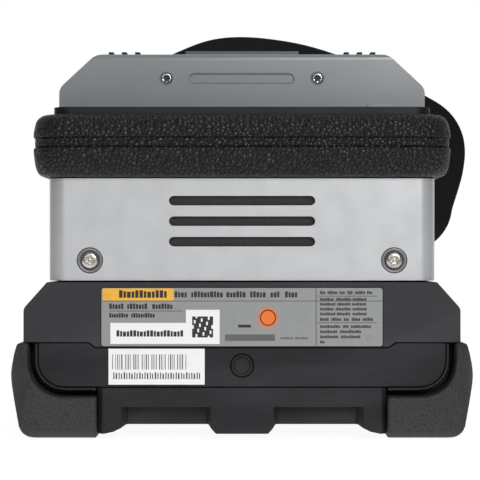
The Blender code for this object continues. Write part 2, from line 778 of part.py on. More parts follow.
def rear_screws():
    for name, side in (("rear_screw_left", -1), ("rear_screw_right", 1)):
        seat = REAR - 0.9 * MM + GAP
        profile = [
            (0, REAR - 8 * MM),
            (SCREW_SHANK, REAR - 8 * MM),
            (SCREW_SHANK, seat),
            (SCREW_HEAD, seat),
            (SCREW_HEAD, seat + 0.8 * MM),
            (SCREW_HEAD - 0.6 * MM, seat + 1.5 * MM),
            (1.4 * MM, seat + 1.7 * MM),
            (1.2 * MM, seat + 0.8 * MM),
            (0, seat + 0.8 * MM),
        ]
        finish(turned(profile, "Y", (side * SCREW_X, SCREW_Z)), name, STEEL)


def vent_filter():
    """The dark filter pad behind the vents."""
    back = REAR - BODY_SKIN - GAP - 2 * MM
    half = VENT_LENGTH / 2 + 3 * MM
    middle = HOUSING_TOP + VENT_MIDDLE
    rise = VENT_PITCH + VENT_HEIGHT / 2 + 2.5 * MM
    return finish(
        block((-half, back, middle - rise), (half, back + 2 * MM, middle + rise)), "vent_filter", FOAM
    )


FAN_REAR = REAR - BODY_SKIN - 4 * MM
FAN_LOW = HOUSING_TOP + 2.3 * MM
FAN_Z = FAN_LOW + FAN_SIZE / 2
FAN_BORE = FAN_SIZE / 2 - 1.5 * MM


def fan():
    """The fan's square frame with its motor on four struts, and the bladed rotor in front of the struts."""
    half = FAN_SIZE / 2
    front = FAN_REAR - FAN_DEPTH
    frame = prism(
        rounded(
            [
                (-half, FAN_Z - half, 2 * MM),
                (half, FAN_Z - half, 2 * MM),
                (half, FAN_Z + half, 2 * MM),
                (-half, FAN_Z + half, 2 * MM),
            ],
            2,
        ),
        "Y",
        front,
        FAN_REAR,
    )
    frame = cut(frame, rod(FAN_BORE, "Y", front - MM, FAN_REAR + MM, (0, FAN_Z), steps=32))
    for turn in (0, 1):
        long, short = FAN_BORE + 0.8 * MM, 1.0 * MM
        reach = (long, short) if turn else (short, long)
        strut = block(
            (-reach[0], FAN_REAR - 1.6 * MM, FAN_Z - reach[1]),
            (reach[0], FAN_REAR - 0.2 * MM, FAN_Z + reach[1]),
        )
        frame = join(frame, strut)
    frame = join(frame, rod(7 * MM, "Y", FAN_REAR - 1.7 * MM, FAN_REAR - 0.1 * MM, (0, FAN_Z)))
    finish(frame, "fan_frame", BLACK)
    rotor_rear = FAN_REAR - 1.7 * MM - GAP
    rotor = rod(8 * MM, "Y", front + 0.6 * MM, rotor_rear, (0, FAN_Z), steps=21)
    for k in range(FAN_BLADES):
        blade = block(
            (-0.5 * MM, front + 1.0 * MM, 7 * MM), (0.5 * MM, rotor_rear - 0.4 * MM, FAN_BORE - 1.0 * MM)
        )
        angle = 2 * math.pi * k / FAN_BLADES
        middle_y = (front + rotor_rear) / 2
        for vertex in blade.data.vertices:
            lean = (vertex.co.y - middle_y) * 0.7
            x = vertex.co.x + lean
            z = vertex.co.z
            vertex.co.x = x * math.cos(angle) + z * math.sin(angle)
            vertex.co.z = FAN_Z - x * math.sin(angle) + z * math.cos(angle)
        rotor = join(rotor, blade)
    finish(rotor, "fan_rotor", BLACK, (0, (front + rotor_rear) / 2, FAN_Z))


def electronics():
    """The main board on the housing's rim and the arc supply on it."""
    low = HOUSING_TOP + GAP
    inset = BODY_SKIN + GAP
    edge = HALF - inset
    board = block((-edge, SIDE_FRONT + GAP, low), (edge, REAR - BODY_SKIN - 4 * MM, low + 1.6 * MM))
    chips = [
        block((10 * MM, -30 * MM, low + MM), (34 * MM, -6 * MM, low + 4 * MM)),
        block((14 * MM, 8 * MM, low + MM), (26 * MM, 20 * MM, low + 3.4 * MM)),
        block((44 * MM, -40 * MM, low + MM), (62 * MM, -28 * MM, low + 9 * MM)),
    ]
    finish(join(board, *chips), "main_board", BOARD)
    top = low + 1.6 * MM + GAP
    supply = block((-64 * MM, -48 * MM, top), (-30 * MM, -16 * MM, top + 20 * MM))
    core = block((-56 * MM, -42 * MM, top + 19 * MM), (-38 * MM, -22 * MM, top + 24 * MM))
    finish(join(supply, core), "arc_supply", DARK_STEEL)


def front_cover():
    """The black front wall with two ears, whose pins the monitor turns on."""
    low, high = HOUSING_TOP + GAP, BAND_TOP - GAP
    cover = block((-HALF, FRONT, low), (HALF, FRONT + 3 * MM, high))
    radius = MONITOR_THICK / 2
    ear = rounded(
        [
            (MONITOR_AXIS_Y - radius, MONITOR_AXIS_Z - radius, radius * 0.98),
            (SIDE_FRONT - GAP, MONITOR_AXIS_Z - radius - 4 * MM),
            (SIDE_FRONT - GAP, MONITOR_AXIS_Z + radius),
            (MONITOR_AXIS_Y - radius, MONITOR_AXIS_Z + radius, radius * 0.98),
        ],
        6,
    )
    pieces = []
    for side in (-1, 1):
        flange = sorted((side * HALF, side * (HALF - 3 * MM)))
        pieces.append(block((flange[0], FRONT, low), (flange[1], SIDE_FRONT - GAP, high)))
        span = sorted((side * (HALF - 1.1 * MM), side * (HALF - 1.1 * MM + EAR_THICK)))
        pieces.append(prism(ear, "X", *span))
        pin = sorted((side * (MONITOR_HALF - 10 * MM), side * HALF))
        pieces.append(rod(PIVOT_RADIUS, "X", *pin, (MONITOR_AXIS_Y, MONITOR_AXIS_Z)))
    return finish(join(cover, *pieces), "front_cover", BLACK)


def upper_housing():
    """The ring that carries the deck and wears the bumper."""
    ring = prism(rectangle_plan(GAP, 0.0), "Z", BODY_TOP + GAP, BAND_TOP - 0.2 * MM)
    room = prism(rectangle_plan(GAP + 3 * MM, 3 * MM), "Z", BODY_TOP - MM, BAND_TOP + MM)
    return finish(cut(ring, room), "upper_housing", BLACK)


def rectangle_plan(inset, front_inset):
    """The ring's outline, whose front is the side panels' front edge."""
    half = HALF - inset
    front = SIDE_FRONT + front_inset
    rear = REAR - inset
    corner = BODY_CORNER - inset
    return rounded([(-half, front), (half, front), (half, rear, corner), (-half, rear, corner)])


# The bumper's section: height above the body and how far it stands out from it.
BAND_SECTION = (
    (0.1, 1.9),
    (0.7, 3.4),
    (1.8, 4.5),
    (4.0, 5.4),
    (7.2, 6.0),
    (11.3, 6.4),
    (11.8, 5.8),
    (15.3, 5.8),
    (15.8, 6.4),
    (19.0, 6.0),
    (21.6, 5.4),
    (23.2, 4.3),
    (24.2, 2.8),
    (24.6, 1.2),
)


def bumper_band():
    """The padded rubber band round both sides and the rear, with a flat channel along its middle."""
    scale = BAND_HEIGHT / (24.6 * MM)
    rows = [(BODY_TOP + z * scale * MM, proud * MM) for z, proud in BAND_SECTION]
    loops = [[(x, y, z) for x, y in u_line(proud)] for z, proud in rows]
    inner = [[(x, y, z) for x, y in u_line(0.0)] for z in (rows[-1][0], rows[0][0])]
    loops += inner
    count = len(loops[0])
    points = [p for loop in loops for p in loop]
    faces = []
    for i in range(len(loops)):
        after = (i + 1) % len(loops)
        for k in range(count - 1):
            faces.append([i * count + k, i * count + k + 1, after * count + k + 1, after * count + k])
    faces.append([i * count for i in range(len(loops))])
    faces.append([i * count + count - 1 for i in range(len(loops))])
    return finish(new_object("shape", points, faces), "bumper_band", RUBBER)


def u_line(proud, steps=9):
    """The body's U from above, right front round the rear to left front, moved out by proud."""
    half = HALF + proud
    rear = REAR + proud
    corner = BODY_CORNER + proud
    points = [(half, SIDE_FRONT)]
    for middle_x, start in ((half - corner, 0), (corner - half, 90)):
        for k in range(steps + 1):
            angle = math.radians(start + 90 * k / steps)
            points.append((middle_x + corner * math.cos(angle), rear - corner + corner * math.sin(angle)))
    points.append((-half, SIDE_FRONT))
    return points


# ---- Deck and splicing well ------------------------------------------------------------------------

REAR_AXIS = (COVER_REAR + HINGE_OUT, DECK_TOP - HINGE_DROP)
FRONT_AXIS = (COVER_FRONT - HINGE_OUT, DECK_TOP - HINGE_DROP)
WELL_FRONT = SEAM - WELL_DEPTH / 2
WELL_REAR = SEAM + WELL_DEPTH / 2
WELL_WALL = 2.0 * MM


def top_deck():
    """The deck plate with its rim, the well's walls and the grooves that hold the cover's hinge pins."""
    plate = prism(
        rounded(
            [
                (-HALF + DECK_INSET, SIDE_FRONT, 2 * MM),
                (HALF - DECK_INSET, SIDE_FRONT, 2 * MM),
                (HALF - DECK_INSET, REAR - 1.0 * MM, BODY_CORNER),
                (-HALF + DECK_INSET, REAR - 1.0 * MM, BODY_CORNER),
            ]
        ),
        "Z",
        BAND_TOP + 0.1 * MM,
        DECK_TOP,
    )
    inner = HALF - 3 * MM - 2 * GAP
    front, rear = SIDE_FRONT + 3 * MM + GAP, REAR - 3 * MM - 2 * GAP
    edge = rounded([(-inner, front), (inner, front), (inner, rear, BODY_CORNER), (-inner, rear, BODY_CORNER)])
    plug = prism(edge, "Z", BAND_TOP - 3.2 * MM, BAND_TOP + MM)
    walls = block(
        (-WELL_HALF - WELL_WALL, WELL_FRONT - WELL_WALL, WELL_FLOOR),
        (WELL_HALF + WELL_WALL, WELL_REAR + WELL_WALL, BAND_TOP),
    )
    deck = join(plate, plug, walls)
    well = block((-WELL_HALF, WELL_FRONT, WELL_FLOOR - MM), (WELL_HALF, WELL_REAR, DECK_TOP + MM))
    fibre_way = block(
        (-2 * HALF, SEAM - 1.5 * MM, DECK_TOP - 1.6 * MM), (2 * HALF, SEAM + 1.5 * MM, DECK_TOP + MM)
    )
    cutters = [well, fibre_way]
    for y, z in (REAR_AXIS, FRONT_AXIS):
        cutters.append(rod(PIN_RADIUS + GAP, "X", -COVER_HALF, COVER_HALF, (y, z), steps=12))
        for side in (-1, 1):
            ends = sorted((side * KNUCKLE_X, side * (KNUCKLE_X + KNUCKLE_LENGTH)))
            away = 1 if y > SEAM else -1
            span = sorted((y - away * 2.7 * MM, y + away * 3.4 * MM))
            cutters.append(
                block((ends[0] - GAP, span[0], z - 2.4 * MM), (ends[1] + GAP, span[1], DECK_TOP + MM))
            )
    return finish(cut(deck, *cutters), "top_deck", BLACK)


def cover_outline(inset, low):
    """The cover as seen from behind: upright sides, sloped shoulders and a flat top."""
    half = COVER_HALF - inset
    top = COVER_TOP - inset
    side = COVER_BASE + COVER_SIDE - inset * 0.4
    flat = COVER_HALF - COVER_SLOPE - inset * 0.4
    return rounded(
        [
            (-half, low),
            (half, low),
            (half, side, 5 * MM),
            (flat, top, 7 * MM),
            (-flat, top, 7 * MM),
            (-half, side, 5 * MM),
        ],
        4,
    )


def cover_half():
    """The rear half of the cover: a shell open below and at the seam, with two hinge knuckles."""
    near = SEAM + 0.2 * MM
    shell = prism(cover_outline(0, COVER_BASE), "Y", near, COVER_REAR)
    lengthwise = rounded(
        [(near, COVER_BASE), (COVER_REAR, COVER_BASE), (COVER_REAR, COVER_TOP, 2.4 * MM), (near, COVER_TOP)],
        3,
    )
    shell = keep(shell, prism(lengthwise, "X", -2 * HALF, 2 * HALF))
    room = prism(cover_outline(COVER_WALL, COVER_BASE - MM), "Y", near - MM, COVER_REAR - COVER_WALL)
    shell = cut(shell, room)
    axis_y, axis_z = REAR_AXIS
    for side in (-1, 1):
        ends = sorted((side * KNUCKLE_X, side * (KNUCKLE_X + KNUCKLE_LENGTH)))
        knuckle = rod(KNUCKLE_RADIUS, "X", ends[0], ends[1], REAR_AXIS, steps=12)
        tab = block(
            (ends[0], COVER_REAR - 1.2 * MM, axis_z - 0.8 * MM),
            (ends[1], axis_y + 0.6 * MM, COVER_BASE + 1.4 * MM),
        )
        shell = join(shell, knuckle, tab)
    shell = cut(shell, rod(PIN_RADIUS + GAP, "X", -HALF, HALF, REAR_AXIS, steps=12))
    slot = prism(
        stadium(0, COVER_BASE + COVER_SCREW_RISE, EMBOSS_LENGTH, EMBOSS_HEIGHT),
        "Y",
        COVER_REAR - EMBOSS_DEPTH,
        COVER_REAR + MM,
    )
    fibre = rod(1.4 * MM, "X", -2 * HALF, 2 * HALF, (SEAM, COVER_BASE), steps=12)
    return cut(shell, slot, fibre)


def covers():
    """Both halves of the cover, and what is fixed to the rear one."""
    rear = cover_half()
    holes = []
    for side in (-1, 1):
        spot = (side * COVER_SCREW_X, COVER_BASE + COVER_SCREW_RISE)
        holes.append(rod(1.3 * MM + GAP, "Y", COVER_REAR - 2 * COVER_WALL, COVER_REAR + MM, spot, steps=12))
        holes.append(rod(2.3 * MM, "Y", COVER_REAR - 0.9 * MM, COVER_REAR + MM, spot, steps=16))
        ribs = rib_span(side, GAP)
        holes.append(
            block(
                (ribs[0], RIB_Y[0] - GAP, COVER_TOP - POCKET_DEPTH),
                (ribs[1], RIB_Y[1] + GAP, COVER_TOP + MM),
            )
        )
    holes.append(
        block(
            (-LIP_HALF - GAP, RIB_Y[0] - GAP, COVER_TOP - POCKET_DEPTH),
            (LIP_HALF + GAP, RIB_Y[0] + 8 * MM + GAP, COVER_TOP + MM),
        )
    )
    finish(cut(rear, *holes), "wind_cover_rear", GREY, (0, *REAR_AXIS))
    front = mirrored(cover_half(), "Y", SEAM)
    finish(front, "wind_cover_front", GREY, (0, *FRONT_AXIS))


RIB_Y = (SEAM + 9 * MM, SEAM + 24 * MM)
RIB_WIDTH = 2.0 * MM


def rib_span(side, grow=0.0):
    """Where one grip plate starts and ends across the cover."""
    first = RIB_FIRST - RIB_WIDTH / 2 - 0.8 * MM - grow
    last = RIB_FIRST + 2 * RIB_PITCH + RIB_WIDTH / 2 + 0.4 * MM + grow
    return sorted((side * first, side * last))


def cover_trim():
    """The two grip plates with their ribs, the finger lip and the two small screws."""
    low = COVER_TOP - POCKET_DEPTH + GAP
    for name, side in (("grip_ribs_left", -1), ("grip_ribs_right", 1)):
        span = rib_span(side)
        plate = block((span[0], RIB_Y[0], low), (span[1], RIB_Y[1], COVER_TOP))
        for k in range(3):
            x = side * (RIB_FIRST + k * RIB_PITCH)
            rib = block(
                (x - RIB_WIDTH / 2, RIB_Y[0] + 0.6 * MM, low + 0.3 * MM),
                (x + RIB_WIDTH / 2, RIB_Y[1] - 0.6 * MM, COVER_TOP + RIB_PROUD),
            )
            plate = join(plate, rib)
        finish(plate, name, RUBBER)
    lip = [
        (RIB_Y[0], low),
        (RIB_Y[0] + 8 * MM, low),
        (RIB_Y[0] + 8 * MM, COVER_TOP + LIP_PROUD),
        (SEAM + 1.5 * MM, COVER_TOP + LIP_PROUD),
        (SEAM + 1.5 * MM, COVER_TOP + LIP_PROUD - 1.2 * MM),
        (RIB_Y[0], COVER_TOP + LIP_PROUD - 1.2 * MM),
    ]
    finish(prism(lip, "X", -LIP_HALF, LIP_HALF), "finger_lip", BLACK)
    for name, side in (("cover_screw_left", -1), ("cover_screw_right", 1)):
        seat = COVER_REAR - 0.9 * MM + GAP
        profile = [
            (0, COVER_REAR - 3 * MM),
            (1.3 * MM, COVER_REAR - 3 * MM),
            (1.3 * MM, seat),
            (1.95 * MM, seat),
            (1.95 * MM, COVER_REAR + 0.2 * MM),
            (1.0 * MM, COVER_REAR + 0.2 * MM),
            (0.8 * MM, COVER_REAR - 0.3 * MM),
            (0, COVER_REAR - 0.3 * MM),
        ]
        finish(
            turned(profile, "Y", (side * COVER_SCREW_X, COVER_BASE + COVER_SCREW_RISE), steps=16),
            name,
            DARK_STEEL,
        )


def hinge_pins():
    for name, axis in (("hinge_pin_rear", REAR_AXIS), ("hinge_pin_front", FRONT_AXIS)):
        finish(rod(PIN_RADIUS, "X", -COVER_HALF + MM, COVER_HALF - MM, axis, steps=12), name, STEEL)


# ---- Splicing mechanism ----------------------------------------------------------------------------


def splice_base():
    """The aluminium plate that closes the well and carries the mechanism."""
    low = WELL_FLOOR - 3 * MM - GAP
    plate = block(
        (-WELL_HALF - WELL_WALL + GAP, WELL_FRONT - WELL_WALL + GAP, low),
        (WELL_HALF + WELL_WALL - GAP, WELL_REAR + WELL_WALL - GAP, WELL_FLOOR - GAP),
    )
    return finish(plate, "splice_base", ALUMINIUM)


CLAMP_AXIS = (SEAM + 10.4 * MM, FIBRE_Z + 1.6 * MM)
CLAMP_SPAN = (STAGE_NEAR + 4 * MM, STAGE_NEAR + STAGE_LENGTH - 4 * MM)


def stage(name, side):
    """A carriage that feeds one fibre towards the arc, with the seat of its sheath clamp."""
    ends = sorted((side * STAGE_NEAR, side * (STAGE_NEAR + STAGE_LENGTH)))
    half = STAGE_WIDTH / 2
    foot_block = block((ends[0], SEAM - half, WELL_FLOOR), (ends[1], SEAM + half, FIBRE_Z - 6 * MM))
    seat = block((ends[0], SEAM - half + 2 * MM, FIBRE_Z - 7 * MM), (ends[1], SEAM + half - 4 * MM, FIBRE_Z))
    lugs = []
    for start in (CLAMP_SPAN[0] - 3 * MM, CLAMP_SPAN[1] + GAP):
        span = sorted((side * start, side * (start + 3 * MM - GAP)))
        lugs.append(
            block(
                (span[0], CLAMP_AXIS[0] - 1.6 * MM, FIBRE_Z - 7 * MM),
                (span[1], CLAMP_AXIS[0] + 1.6 * MM, CLAMP_AXIS[1] + 1.6 * MM),
            )
        )
    groove = block(
        (-2 * HALF, SEAM - 0.6 * MM, FIBRE_Z - 1.0 * MM), (2 * HALF, SEAM + 0.6 * MM, FIBRE_Z + MM)
    )
    return finish(cut(join(foot_block, seat, *lugs), groove), name, ALUMINIUM)


def sheath_clamp(name, side):
    """The hinged lid that holds a fibre's sheath on its carriage."""
    ends = sorted((side * CLAMP_SPAN[0], side * CLAMP_SPAN[1]))
    low = FIBRE_Z + GAP
    lid = block((ends[0], SEAM - 8.5 * MM, low), (ends[1], CLAMP_AXIS[0] - 1.0 * MM, low + CLAMP_HEIGHT))
    barrel = rod(1.3 * MM, "X", ends[0], ends[1], CLAMP_AXIS, steps=12)
    tab = block(
        (ends[0] + 5 * MM, SEAM - 10.5 * MM, low + 1.0 * MM),
        (ends[1] - 5 * MM, SEAM - 8 * MM, low + CLAMP_HEIGHT - 0.6 * MM),
    )
    middle_x = (ends[0] + ends[1]) / 2
    return finish(join(lid, barrel, tab), name, GREY, (middle_x, *CLAMP_AXIS))


def groove_block(name, side):
    """A ceramic block whose V holds the bare fibre."""
    ends = sorted((side * GROOVE_BLOCK_X, side * (GROOVE_BLOCK_X + GROOVE_BLOCK_LENGTH)))
    top = FIBRE_Z - 0.2 * MM
    outline = [
        (SEAM - 6 * MM, WELL_FLOOR),
        (SEAM + 6 * MM, WELL_FLOOR),
        (SEAM + 6 * MM, top - 4 * MM),
        (SEAM + 3 * MM, top),
        (SEAM + 0.8 * MM, top),
        (SEAM, top - 0.8 * MM),
        (SEAM - 0.8 * MM, top),
        (SEAM - 3 * MM, top),
        (SEAM - 6 * MM, top - 4 * MM),
    ]
    return finish(prism(outline, "X", *ends, name=name), name, CERAMIC)


def electrode(name, side):
    """An electrode rod in its holder, held by a knurled nut."""
    tip = SEAM + side * ELECTRODE_GAP / 2
    tail = SEAM + side * 19 * MM
    holder_ends = sorted((SEAM + side * 12.5 * MM, SEAM + side * 23 * MM))
    holder = block((-5 * MM, holder_ends[0], WELL_FLOOR), (5 * MM, holder_ends[1], FIBRE_Z + 2.2 * MM))
    needle = turned(
        [
            (0, tip), (ELECTRODE_RADIUS, tip + side * 2 * MM), (ELECTRODE_RADIUS, tail), (0, tail)
        ], "Y", (0, FIBRE_Z), steps=10
    )
    nut = rod(3.6 * MM, "Z", FIBRE_Z + MM, FIBRE_Z + 4.0 * MM, (0, SEAM + side * 17.5 * MM), steps=14)
    return finish(join(holder, needle, nut), name, DARK_STEEL)


def lens_block():
    """The two objective lenses that look up at the arc from either side."""
    base = block((-6 * MM, SEAM - 8 * MM, WELL_FLOOR), (6 * MM, SEAM + 8 * MM, WELL_FLOOR + 3 * MM))
    for side in (-1, 1):
        barrel = rod(3.0 * MM, "Z", 0, 10 * MM, (0, 0), steps=16)
        for vertex in barrel.data.vertices:
            y, z = vertex.co.y, vertex.co.z
            lean = math.radians(40) * side
            vertex.co.y = SEAM + side * 7.6 * MM + y * math.cos(lean) - z * math.sin(lean)
            vertex.co.z = WELL_FLOOR + 1.9 * MM + y * math.sin(lean) + z * math.cos(lean)
        base = join(base, barrel)
    return finish(base, "lens_block", DARK_STEEL)


def cover_motor():
    """The geared motor under the deck that opens the cover."""
    y = WELL_FRONT - 16 * MM
    z = BAND_TOP - 3.2 * MM - GAP - 7 * MM
    body = rod(7 * MM, "X", 12 * MM, 46 * MM, (y, z), steps=20)
    gearbox = block((45 * MM, y - 8 * MM, z - 8 * MM), (58 * MM, y + 8 * MM, z + 7 * MM))
    shaft = rod(1.5 * MM, "X", 57 * MM, 63 * MM, (y, z), steps=12)
    return finish(join(body, gearbox, shaft), "cover_motor", STEEL)


# ---- Tube heater -------------------------------------------------------------------------------------

HEATER_LOW = DECK_TOP + GAP
HEATER_TOP = HEATER_LOW + HEATER_HEIGHT
HEATER_FRONT = HEATER_REAR - HEATER_DEPTH
HEATER_AXIS = (HEATER_REAR - 2.5 * MM, HEATER_TOP + 0.3 * MM)
TROUGH_Y = (HEATER_FRONT + HEATER_REAR) / 2 - 2 * MM


def heater():
    """The heater's body with its trough, its lid, and the pin that joins them."""
    body = block((-HEATER_HALF, HEATER_FRONT, HEATER_LOW), (HEATER_HALF, HEATER_REAR, HEATER_TOP))
    lugs = []
    for side in (-1, 1):
        span = sorted((side * (HEATER_LID_HALF + GAP), side * (HEATER_LID_HALF + 5 * MM)))
        lugs.append(
            block(
                (span[0], HEATER_AXIS[0] - 2.2 * MM, HEATER_LOW + MM),
                (span[1], HEATER_AXIS[0] + 2.2 * MM, HEATER_AXIS[1] + 2.2 * MM),
            )
        )
    trough = block(
        (-TROUGH_HALF, TROUGH_Y - TROUGH_WIDTH / 2, HEATER_LOW + 1.2 * MM),
        (TROUGH_HALF, TROUGH_Y + TROUGH_WIDTH / 2, HEATER_TOP + MM),
    )
    fibre = block(
        (-HALF, TROUGH_Y - 1.2 * MM, HEATER_TOP - 2.6 * MM), (HALF, TROUGH_Y + 1.2 * MM, HEATER_TOP + MM)
    )
    saddle = block(
        (-HEATER_LID_HALF - GAP, HEATER_AXIS[0] - 2.6 * MM, HEATER_AXIS[1] - 2.6 * MM),
        (HEATER_LID_HALF + GAP, HEATER_REAR + MM, HEATER_TOP + MM),
    )
    bore = rod(PIN_RADIUS + GAP, "X", -HALF, HALF, HEATER_AXIS, steps=12)
    finish(cut(join(body, *lugs), trough, fibre, saddle, bore), "heater_body", ALUMINIUM)

    low = HEATER_TOP + GAP
    lid_outline = rounded(
        [
            (HEATER_FRONT + 0.6 * MM, low, 0.8 * MM),
            (HEATER_AXIS[0] - 1.6 * MM, low),
            (HEATER_AXIS[0] - 1.6 * MM, low + LID_HEIGHT, 3 * MM),
            (HEATER_FRONT + 0.6 * MM, low + LID_HEIGHT, 3 * MM),
        ],
        4,
    )
    lid = prism(lid_outline, "X", -HEATER_LID_HALF, HEATER_LID_HALF)
    barrel = rod(2.0 * MM, "X", -HEATER_LID_HALF, HEATER_LID_HALF, HEATER_AXIS, steps=12)
    grip = block(
        (-8 * MM, HEATER_FRONT - 1.4 * MM, low + 1.6 * MM), (8 * MM, HEATER_FRONT + 2 * MM, low + 3.4 * MM)
    )
    lid = cut(join(lid, barrel, grip), rod(PIN_RADIUS + GAP, "X", -HALF, HALF, HEATER_AXIS, steps=12))
    finish(lid, "heater_lid", GREY, (0, *HEATER_AXIS))
    reach = HEATER_LID_HALF + 5 * MM
    finish(rod(PIN_RADIUS, "X", -reach, reach, HEATER_AXIS, steps=12), "heater_pin", STEEL)


# ---- Monitor ---------------------------------------------------------------------------------------

MONITOR_LOW = MONITOR_AXIS_Z - MONITOR_DROP
MONITOR_FACE = MONITOR_REAR - MONITOR_THICK
MONITOR_SPLIT = MONITOR_REAR - MONITOR_BACK
MONITOR_AXIS = (MONITOR_AXIS_Y, MONITOR_AXIS_Z)
# Each key: its side of the screen, its height over the monitor's lower edge, and its radius.
KEYS = {
    "key_power": (-1, 62.0 * MM, KEY_RADIUS),
    "key_heat": (-1, 20.0 * MM, KEY_RADIUS),
    "key_cursor": (1, 56.0 * MM, CURSOR_RADIUS),
    "key_set": (1, 36.0 * MM, KEY_RADIUS),
    "key_reset": (1, 20.0 * MM, KEY_RADIUS),
}


def monitor_slab(front, rear):
    """The part of the monitor between two depths. Its top edge is round about the pivots."""
    radius = MONITOR_THICK / 2
    start = math.acos(max(-1.0, min(1.0, (rear - MONITOR_AXIS_Y) / radius)))
    end = math.acos(max(-1.0, min(1.0, (front - MONITOR_AXIS_Y) / radius)))
    steps = 8
    profile = [(front, MONITOR_LOW), (rear, MONITOR_LOW)]
    for k in range(steps + 1):
        angle = start + (end - start) * k / steps
        profile.append((MONITOR_AXIS_Y + radius * math.cos(angle), MONITOR_AXIS_Z + radius * math.sin(angle)))
    slab = prism(profile, "X", -MONITOR_HALF, MONITOR_HALF)
    face = rounded(
        [
            (-MONITOR_HALF, MONITOR_LOW, 5 * MM),
            (MONITOR_HALF, MONITOR_LOW, 5 * MM),
            (MONITOR_HALF, DECK_TOP),
            (-MONITOR_HALF, DECK_TOP),
        ],
        4,
    )
    return keep(slab, prism(face, "Y", MONITOR_FACE - MM, MONITOR_REAR + MM))


def monitor():
    """The back shell, the bezel with its recesses, the screen and the keys."""
    pivot = (0, *MONITOR_AXIS)
    bezel = monitor_slab(MONITOR_FACE, MONITOR_SPLIT - GAP)
    screen_low = MONITOR_LOW + SCREEN_RISE
    screen_back = MONITOR_FACE + SCREEN_THICK + GAP
    cutters = [
        prism(
            rectangle(SCREEN_HALF + GAP, screen_low - GAP, screen_low + SCREEN_HEIGHT + GAP, 2 * MM),
            "Y",
            MONITOR_FACE - MM,
            screen_back,
        )
    ]
    for side, height, radius in KEYS.values():
        spot = (side * KEY_X, MONITOR_LOW + height)
        cutters.append(rod(radius + GAP, "Y", MONITOR_FACE - MM, MONITOR_FACE + KEY_DEPTH, spot, steps=24))
    for side in (-1, 1):
        span = sorted((side * (MONITOR_HALF - 11 * MM), side * (MONITOR_HALF + MM)))
        cutters.append(rod(PIVOT_RADIUS + GAP, "X", *span, MONITOR_AXIS))
    finish(cut(bezel, *cutters), "monitor_bezel", BLACK, pivot)
    finish(monitor_slab(MONITOR_SPLIT, MONITOR_REAR), "monitor_back", GREY, pivot)
    screen = prism(
        rectangle(SCREEN_HALF, screen_low, screen_low + SCREEN_HEIGHT, 1.7 * MM),
        "Y",
        MONITOR_FACE + 0.1 * MM,
        MONITOR_FACE + SCREEN_THICK,
    )
    finish(screen, "monitor_screen", SCREEN, pivot)
    for name, (side, height, radius) in KEYS.items():
        back = MONITOR_FACE + KEY_DEPTH - KEY_TRAVEL - GAP
        top = MONITOR_FACE - KEY_PROUD
        profile = [(0, top), (radius - 0.8 * MM, top), (radius, top + 0.6 * MM), (radius, back), (0, back)]
        spot = (side * KEY_X, MONITOR_LOW + height)
        finish(turned(profile, "Y", spot, steps=24), name, BLACK, (spot[0], back, spot[1]))


# ---- Hand strap ------------------------------------------------------------------------------------


def strap_anchor(name, side):
    """The moulded loop screwed to the body's side, through which the strap's end is sewn."""
    near, far = HALF + GAP, HALF + 2 * ANCHOR_OUT - GAP
    half = STRAP_WIDTH / 2
    ends = sorted((side * near, side * far))
    outline = [
        (ends[0], ANCHOR_LOW),
        (ends[1], ANCHOR_LOW),
        (ends[1], ANCHOR_LOW + ANCHOR_HEIGHT),
        (ends[0], ANCHOR_LOW + ANCHOR_HEIGHT),
    ]
    loop = prism(outline, "Y", ANCHOR_Y - half - 2 * MM, ANCHOR_Y + half + 2 * MM)
    slot_half = STRAP_THICK / 2 + GAP
    middle = side * (HALF + ANCHOR_OUT)
    slot = block(
        (middle - slot_half, ANCHOR_Y - half - GAP, ANCHOR_LOW + MM),
        (middle + slot_half, ANCHOR_Y + half + GAP, ANCHOR_LOW + ANCHOR_HEIGHT + MM),
    )
    return finish(cut(loop, slot), name, BLACK)


def smooth_route():
    """Points and turns along the strap, read from a smooth curve through its route."""
    knots = [Vector((x, y, z, turn)) for x, y, z, turn in STRAP_ROUTE]
    knots = [knots[0]] + knots + [knots[-1]]
    found = []
    for i in range(1, len(knots) - 2):
        a, b, c, d = knots[i - 1 : i + 3]
        for k in range(STRAP_STEPS):
            t = k / STRAP_STEPS
            found.append(
                0.5 * (
                    2 * b + (c - a) * t + (
                        2 * a - 5 * b + 4 * c - d
                    ) * t * t + (3 * b - a - 3 * c + d) * t**3
                )
            )
    found.append(knots[-2])
    return [(fit_width(Vector(p[:3]) * MM), math.radians(p[3])) for p in found]


def fit_width(point):
    """Carries the route with the body's sides, front and top, which it is fixed to and clears."""
    drawn_half, drawn_anchor, drawn_low = 79.3 * MM, 60.0 * MM, 62.5 * MM
    side = (HALF + ANCHOR_OUT) / drawn_half
    return Vector((point.x * side, point.y + drawn_anchor + ANCHOR_Y, point.z + ANCHOR_LOW - drawn_low))


def strap():
    """The flat webbing strap, whose ends stand in the anchors' slots."""
    route = smooth_route()
    sections = []
    for i, (point, turn) in enumerate(route):
        ahead = route[min(i + 1, len(route) - 1)][0]
        behind = route[max(i - 1, 0)][0]
        along = (ahead - behind).normalized()
        across = Vector((0, 1, 0))
        across = (across - along * across.dot(along)).normalized()
        out = across.cross(along)
        wide = (across * math.cos(turn) + out * math.sin(turn)) * STRAP_WIDTH / 2
        thick = wide.cross(along).normalized() * STRAP_THICK / 2
        sections.append(
            [point + wide + thick, point + wide - thick, point - wide - thick, point - wide + thick]
        )
    points = [p for section in sections for p in section]
    faces = [[0, 1, 2, 3], [len(points) - 4 + k for k in range(4)]]
    for i in range(len(sections) - 1):
        for k in range(4):
            after = (k + 1) % 4
            faces.append([4 * i + k, 4 * i + after, 4 * i + 4 + after, 4 * i + 4 + k])
    return finish(new_object("shape", points, faces), "strap", WEBBING)


